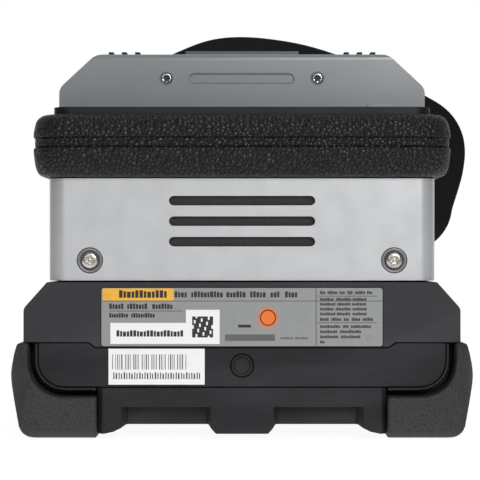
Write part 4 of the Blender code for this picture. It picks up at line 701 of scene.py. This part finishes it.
def bumper_band():
    """The padded band round the body's sides and back, a little uneven as soft rubber is."""
    body_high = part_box("rear_cover")[1] / MM
    band_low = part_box("bumper_band")[0] / MM
    base = band_low.z - 0.1
    section = [Vector(p) for p in ((0.1, -0.05), *curved(BAND_LOWER, 3), *BAND_CHANNEL)]
    section += [Vector(p) for p in (*curved(BAND_UPPER, 3), (24.6, -0.05))]
    shape = bmesh.new()
    rings = []
    for i, (x, y, nx, ny) in enumerate(band_line(body_high.x, band_low.y, body_high.y)):
        # Known fault: the second corner's last ring passes for a side too, and sits BAND_CORNER too far in.
        on_side = abs(nx) == 1.0
        from_end = y - band_low.y if on_side else math.inf
        ease = math.sqrt(max(0.0, 1 - (1 - min(from_end / BAND_END, 1.0)) ** 2))
        corner = 0 if on_side else BAND_CORNER
        ring = []
        for z, proud in section:
            swell = noise.noise(Vector((i * 1.6 / 34, z / 22, 3.1))) * 0.2 if proud > 0.5 else 0.0
            reach = corner + (proud + min(swell, BAND_MOST - proud)) * (0.25 + 0.75 * ease)
            ring.append(shape.verts.new(Vector((x + nx * reach, y + ny * reach, base + z)) * MM))
        rings.append(ring)
    loft(shape, rings)
    mesh = mesh_of("bumper_skin", shape)
    piece("bumper_skin", mesh, BAND_RUBBER, "base", ("bumper_band",), smooth=42)


bumper_band()


# ---- Feet ------------------------------------------------------------------------------------------


def foot(node):
    """A corner foot as moulded in rubber, with every edge soft."""
    mesh = finished(
        solid_of(node),
        ("REMESH", {"mode": "VOXEL", "voxel_size": 0.6 * MM}),
        ("SMOOTH", {"factor": 0.5, "iterations": 3}),
        ("DECIMATE", {"ratio": 0.25}),
    )
    piece(node + "_skin", mesh, FOOT_RUBBER, "base", (node,), smooth=55)


for name in ("foot_rear_left", "foot_rear_right", "foot_front_left", "foot_front_right"):
    foot(name)


# ---- Screws ----------------------------------------------------------------------------------------


def middle_of(node):
    """x and z of the middle of a CAD node's box."""
    low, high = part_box(node)
    return (low.x + high.x) / 2, (low.z + high.z) / 2


def washer(middle, inner, outer, low, high, steps):
    """A flat ring about a line along Y, in mm."""
    return lathe([(inner, low), (outer, low), (outer, high), (inner, high), (inner, low)], middle, steps)


def rear_screw(node):
    """A six-lobed screw sunk in a pressed cup, with rings of painted shade round the cup and round the head.
    """
    middle = middle_of(node)
    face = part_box("rear_cover")[1].y / MM
    shank = [(0, -8), (2.0, -8), (2.0, -0.55), (3.15, -0.55), (3.2, -0.3), (3.2, 0.35)]
    crown = [(3.05, 0.62), (2.7, 0.85), (2.2, 0.98)]
    socket = [(1.72, 1.0), (1.58, 0.9), (1.5, 0.2), (0.62, 0.1), (0.55, 0.55), (0.3, 0.62), (0, 0.62)]
    head = [(radius, face + y) for radius, y in shank + crown + socket]
    lobes = (len(shank + crown), len(shank + crown) + 2, 0.15)
    piece(node + "_skin", lathe(head, middle, 60, lobes), STEEL, "base", (node,), smooth=32)
    outside = [(4.95, -0.88), (4.95, -0.28), (4.8, -0.1), (4.5, -0.02), (4.2, -0.05)]
    inside = [(3.95, -0.2), (3.8, -0.42), (3.45, -0.6), (3.35, -0.88), (4.95, -0.88)]
    cup = [(radius, face + y) for radius, y in outside + inside]
    piece(node + "_cup", lathe(cup, middle, 60), GREY, "base", (), smooth=32)
    # Painted shade: a dark ring laid where the cup meets the cover, and another between the head and the
    # cup's inner wall.
    rim = washer(middle, 4.74, 5.0, face - 0.4, face + 0.02, 60)
    piece(node + "_rim", rim, INK_AND_SHADE, "base", (), smooth=32)
    gap_shade = washer(middle, 3.24, 3.5, face - 0.7, face - 0.3, 60)
    piece(node + "_gap", gap_shade, INK_AND_SHADE, "base", (), smooth=32)


for name in ("rear_screw_left", "rear_screw_right"):
    rear_screw(name)


SCREW_PROUD = 0.2  # a cover screw's head above the cover, in mm


def cover_screw(node):
    """A small six-lobed screw in the wind cover, with painted shade filling its socket and in a ring round
    its head, and a raised seat.
    """
    middle = middle_of(node)
    low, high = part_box(node)
    top = high.y / MM
    face = top - SCREW_PROUD
    shank = [(0, low.y / MM - top), (1.3, low.y / MM - top), (1.3, -1.0), (1.85, -1.0), (1.9, -0.5)]
    crown = [(1.9, -0.2), (1.78, -0.03), (1.5, 0), (1.32, -0.12), (1.22, -0.9), (0, -0.95)]
    head = [(radius, top + y) for radius, y in shank + crown]
    mesh = lathe(head, middle, 48, (8, 9, 0.1))
    piece(node + "_skin", mesh, BRIGHT_STEEL, "cover_rear", (node,), smooth=32)
    # Painted shade: a dark fill in the screw's socket.
    recess_shade = [(0, -1.0), (1.36, -1.0), (1.36, -0.5), (0.5, -0.55), (0.3, -0.3), (0, -0.3)]
    mesh = lathe([(radius, top + y) for radius, y in recess_shade], middle, 24)
    piece(node + "_recess", mesh, INK_AND_SHADE, "cover_rear", (), smooth=32)
    seat = [(2.2, -0.1), (2.8, -0.1), (2.74, 0.08), (2.5, 0.22), (2.25, 0.12), (2.2, -0.1)]
    mesh = lathe([(radius, face + y) for radius, y in seat], middle, 48)
    piece(node + "_seat", mesh, GREY, "cover_rear", (), smooth=40)
    # Painted shade: a dark ring between the head and the seat.
    gap_shade = washer(middle, 1.88, 2.22, face - 0.4, face + 0.02, 48)
    piece(node + "_gap", gap_shade, INK_AND_SHADE, "cover_rear", (), smooth=40)


for name in ("cover_screw_left", "cover_screw_right"):
    cover_screw(name)


def emboss_bead():
    """The soft raised edge that pressing leaves round the long slot between the cover's screws."""
    screw_z = middle_of("cover_screw_left")[1] / MM
    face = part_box("cover_screw_left")[1].y / MM - SCREW_PROUD
    half, radius, bead = 20.85, 2.0, 0.28
    path = []
    for side in (1, -1):
        for k in range(17):
            angle = math.radians(-90 + 180 * k / 16) + (math.pi if side < 0 else 0)
            path.append((side * (half - radius), math.cos(angle), math.sin(angle)))
    shape = bmesh.new()
    rings = []
    for middle_x, out_x, out_z in path:
        ring = []
        for k in range(10):
            turn = 2 * math.pi * k / 10
            reach = radius + bead * math.cos(turn)
            x, z = middle_x + out_x * reach, screw_z + out_z * reach
            ring.append(shape.verts.new((x * MM, (face + bead * 0.75 * math.sin(turn)) * MM, z * MM)))
        rings.append(ring)
    loft(shape, rings, closed=True)
    piece("emboss_bead", mesh_of("emboss_bead", shape), GREY, "cover_rear", (), smooth=60)


emboss_bead()


def access_plug():
    """A push-in cap with a raised rim, a groove inside it and a dished middle."""
    low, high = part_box("access_plug")
    radius = (high.x - low.x) / 2 / MM
    back = (low.y - high.y) / MM
    wall = [(0, back), (radius - 0.1, back), (radius, back + 0.2), (radius, -0.25), (radius - 0.2, -0.04)]
    groove = [(radius - 0.45, 0), (radius - 0.7, -0.06), (radius - 0.85, -0.5), (radius - 1.2, -0.55)]
    dish = [(radius - 1.4, -0.1), (radius - 1.8, -0.08), (1.2, -0.22), (0, -0.26)]
    profile = [(reach, high.y / MM + y) for reach, y in wall + groove + dish]
    mesh = lathe(profile, middle_of("access_plug"), 60)
    piece("access_plug_skin", mesh, FINE_PLASTIC, "base", ("access_plug",), smooth=32)


access_plug()


# ---- Labels ----------------------------------------------------------------------------------------


LABEL_INKS = (AMBER, INK_AND_SHADE, GREY_INK, PAPER)
STROKE_WIDTHS = (0.75, 0.55, 0.8, 0.6, 0.7)  # shares of a stroke, taken in turn
STROKE_HEIGHTS = (0.5, 0.42, 0.44, 0.5, 0.4)  # shares of half the line's height, taken in turn
LABEL_PANELS = (  # from x, to x, from z, to z, in mm, and the ink: fields, rules and bars
    (54.2, 26.6, 53.6, 58.3, AMBER),
    (54.2, -55.0, 53.3, 53.5, INK_AND_SHADE),
    (-28.7, -28.95, 35.9, 58.3, INK_AND_SHADE),
    (51.6, 23.0, 49.4, 49.6, INK_AND_SHADE),
    (51.2, 8.7, 36.7, 44.9, PAPER),
    (21.8, 8.7, 44.9, 50.0, PAPER),
    (1.5, -3.5, 43.1, 44.2, INK_AND_SHADE),
    (6.6, -12.8, 37.9, 40.4, GREY_INK),
    (-29.4, -52.5, 55.2, 55.4, INK_AND_SHADE),
    (-29.4, -52.5, 44.85, 45.05, INK_AND_SHADE),
)
LABEL_LINES = (  # from x, to x, z, height and the groups' widths in mm, the ink, and its lift in mm
    (47.8, 27.6, 55.9, 2.9, (19.2,), INK_AND_SHADE, 0.05),
    (26.2, -28.4, 55.8, 2.3, (5.2, 12.4, 8.0, 6.6, 4.4), INK_AND_SHADE, 0.035),
    (51.6, 24.0, 51.2, 2.1, (5.8, 8.6, 8.4), INK_AND_SHADE, 0.035),
    (51.6, 30.0, 47.7, 1.7, (7.6, 9.6), INK_AND_SHADE, 0.035),
    (48.8, 21.5, 40.6, 2.4, (26.8,), INK_AND_SHADE, 0.06),
    (-15.0, -27.5, 38.9, 0.9, (5.0, 5.6), GREY_INK, 0.035),
    (-30.4, -52.0, 56.6, 1.25, (2.2, 4.0, 2.4), INK_AND_SHADE, 0.035),
    (-30.4, -52.0, 54.0, 1.1, (5.6, 5.8, 5.4), INK_AND_SHADE, 0.035),
    (-30.4, -52.0, 52.1, 1.1, (6.0, 5.2, 5.8), INK_AND_SHADE, 0.035),
    (-30.4, -52.0, 50.2, 1.1, (5.4, 6.0, 5.6), INK_AND_SHADE, 0.035),
    (-30.4, -52.0, 48.3, 1.1, (5.8, 5.6), INK_AND_SHADE, 0.035),
    (-30.4, -52.0, 46.2, 1.25, (3.6, 4.2, 2.4), INK_AND_SHADE, 0.035),
    (-30.4, -52.0, 43.4, 1.1, (8.2, 2.6), INK_AND_SHADE, 0.035),
    (-30.4, -52.0, 41.4, 1.1, (7.0, 8.4), INK_AND_SHADE, 0.035),
    (-30.4, -52.0, 39.4, 1.1, (7.4, 7.8), INK_AND_SHADE, 0.035),
    (-30.4, -34.0, 37.4, 1.1, (2.2,), INK_AND_SHADE, 0.035),
)
BLOCK_CELLS, BLOCK_CELL_MM = 12, 0.68
BLOCK_X, BLOCK_Z = 19.4, 47.4  # mm, the block pattern's top corner
DISC_MIDDLE = (-10.1 * MM, 46.9 * MM)


def rating_label():
    """A foil plate with blank printed panels, rules and strokes in place of words."""
    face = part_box("rating_label")[1].y / MM
    shape = bmesh.new()

    def panel(x0, x1, z0, z1, ink, lift=0.03):
        low, high = (x1, face - 0.05, z0), (x0, face + lift, z1)
        box_into(shape, low, high, LABEL_INKS.index(ink))

    def line(x, x_end, z, height, widths, ink, lift):
        """Groups of blank strokes of uneven height and width, from x down to x_end."""
        group = 0
        stroke = 0.62 * height
        foot = z - 0.42 * height
        while x - widths[group % len(widths)] > x_end:
            end = x - widths[group % len(widths)]
            step = 0
            while x - 0.6 * stroke > end:
                wide = stroke * STROKE_WIDTHS[(step + group) % 5]
                tall = height * STROKE_HEIGHTS[(step * 2 + group) % 5]
                panel(x, x - wide, foot, foot + 2 * tall, ink, lift)
                x -= wide + 0.2 * stroke
                step += 1
            x = end - 0.55 * height
            group += 1

    for row in LABEL_PANELS:
        panel(*row)
    for row in LABEL_LINES:
        line(*row)
    for row in range(BLOCK_CELLS):
        for column in range(BLOCK_CELLS):
            if (row * row * 3 + column * column * 5 + row * column * 7) % 11 < 6:
                x, z = BLOCK_X - column * BLOCK_CELL_MM, BLOCK_Z - row * BLOCK_CELL_MM
                panel(x, x - BLOCK_CELL_MM, z - BLOCK_CELL_MM, z, INK_AND_SHADE, 0.06)
    piece("label_print", mesh_of("label_print", shape), LABEL_INKS, "base", (), smooth=30)
    disc = [(0, face - 0.05), (3.9, face - 0.05), (3.9, face + 0.04), (0, face + 0.04)]
    piece("label_disc", lathe(disc, DISC_MIDDLE, 48), ORANGE, "base", (), smooth=30)
    ring = washer(DISC_MIDDLE, 2.7, 3.15, face, face + 0.06, 48)
    piece("label_ring", ring, INK_AND_SHADE, "base", (), smooth=30)
    eased("rating_label", FOIL, 0.08)


BAR_WIDTHS = (0.24, 0.18, 0.3, 0.18, 0.42, 0.24, 0.18, 0.3, 0.18, 0.24, 0.36)
MARK_WIDTHS, MARK_HEIGHTS = (0.42, 0.55, 0.38), (2.6, 2.3, 2.5, 2.1)


def asset_sticker():
    """A paper sticker with a row of uneven bars over a row of plain upright marks."""
    low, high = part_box("asset_sticker")
    face, foot = high.y / MM, low.z / MM
    shape = bmesh.new()

    def stroke(x, wide, z, tall):
        box_into(shape, (x - wide, face - 0.05, foot + z), (x, face + 0.03, foot + z + tall))

    x, k = 50.4, 0
    while x > 21.4:
        wide = BAR_WIDTHS[k % len(BAR_WIDTHS)]
        stroke(x, wide, 5.9, 5.9)
        x -= wide + BAR_WIDTHS[(k * 3 + 1) % len(BAR_WIDTHS)] + (0.2 if k % 4 else 0.75)
        k += 1
    x, k = 50.0, 0
    while x > 16.4:
        wide = MARK_WIDTHS[k % 3]
        stroke(x, wide, 2.2, MARK_HEIGHTS[k % 4])
        x -= wide + (0.62 if k % 2 else 0.5)
        k += 1
    piece("sticker_print", mesh_of("sticker_print", shape), INK_AND_SHADE, "base", (), smooth=30)
    eased("asset_sticker", PAPER, 0.05)


rating_label()
asset_sticker()


# ---- The rest, as the CAD has it, with eased edges -----------------------------------------------------

EASED = (
    (("skid_plate",), BASE_PLASTIC, "black_plastic", 0.6),
    (("chassis_tray",), BASE_PLASTIC, "black_plastic", 0.5),
    (("lower_housing",), PLASTIC, "black_plastic", 0.5),
    (("port_block",), DARK_STEEL, "black_plastic", 0.25),
    (("port_flap", "grip_ribs_left", "grip_ribs_right"), PLAIN_RUBBER, "black_rubber", 0.25),
    (("rear_cover",), SILVER, "silver_paint", 0.25),
    (("vent_filter",), FOAM, "black_plastic", 0.3),
    (("fan_frame", "fan_rotor", "battery_latch"), FINE_PLASTIC, "black_plastic", 0.2),
    (("main_board",), BOARD, "circuit_board", 0.1),
    (("arc_supply", "lens_block"), DARK_STEEL, "steel", 0.25),
    (("front_cover", "strap_anchor_left", "strap_anchor_right"), PLASTIC, "black_plastic", 0.4),
    (("upper_housing",), PLASTIC, "black_plastic", 0.3),
    (("top_deck",), FINE_PLASTIC, "black_plastic", 0.35),
    (("hinge_pin_rear", "hinge_pin_front", "heater_pin"), BRIGHT_STEEL, "steel", 0.15),
    (("splice_base", "stage_left", "stage_right", "heater_body"), ALUMINIUM, "aluminium", 0.25),
    (("v_groove_left", "v_groove_right"), CERAMIC, "ceramic", 0.15),
    (("electrode_rear", "electrode_front"), DARK_STEEL, "steel", 0.15),
    (("cover_motor",), BRIGHT_STEEL, "steel", 0.3),
    (("wind_cover_rear", "wind_cover_front"), GREY, "grey_paint", 0.3),
    (("finger_lip",), DARK_GREY, "black_plastic", 0.3),
    (("sheath_clamp_left", "sheath_clamp_right", "heater_lid"), DARK_GREY, "grey_paint", 0.3),
    (("battery",), WRAP, "battery_wrap", 0.5),
    (("monitor_bezel",), PLASTIC, "black_plastic", 0.5),
    (("monitor_back",), DARK_GREY, "grey_paint", 0.5),
    (("monitor_screen",), SCREEN, "screen", 0.2),
    (("key_power", "key_heat", "key_cursor", "key_set", "key_reset"), FINE_PLASTIC, "black_plastic", 0.2),
)
for names, look, slot, width in EASED:
    for name in names:
        eased(name, look, width)


# ---- Floor -----------------------------------------------------------------------------------------


def floor():
    shape = bmesh.new()
    bmesh.ops.create_circle(shape, cap_ends=True, segments=96, radius=0.6)
    mesh = bpy.data.meshes.new("floor")
    shape.to_mesh(mesh)
    shape.free()
    look = Look("floor", Emission_Strength=0.93)
    look.shader.inputs["Emission Color"].default_value = (1, 1, 1, 1)
    look.done(srgb(110, 110, 110), 0.95)
    made = bpy.data.objects.new("floor", mesh)
    made.location.z = -0.0003
    scene.collection.objects.link(made)
    mesh.materials.append(look.material)


floor()
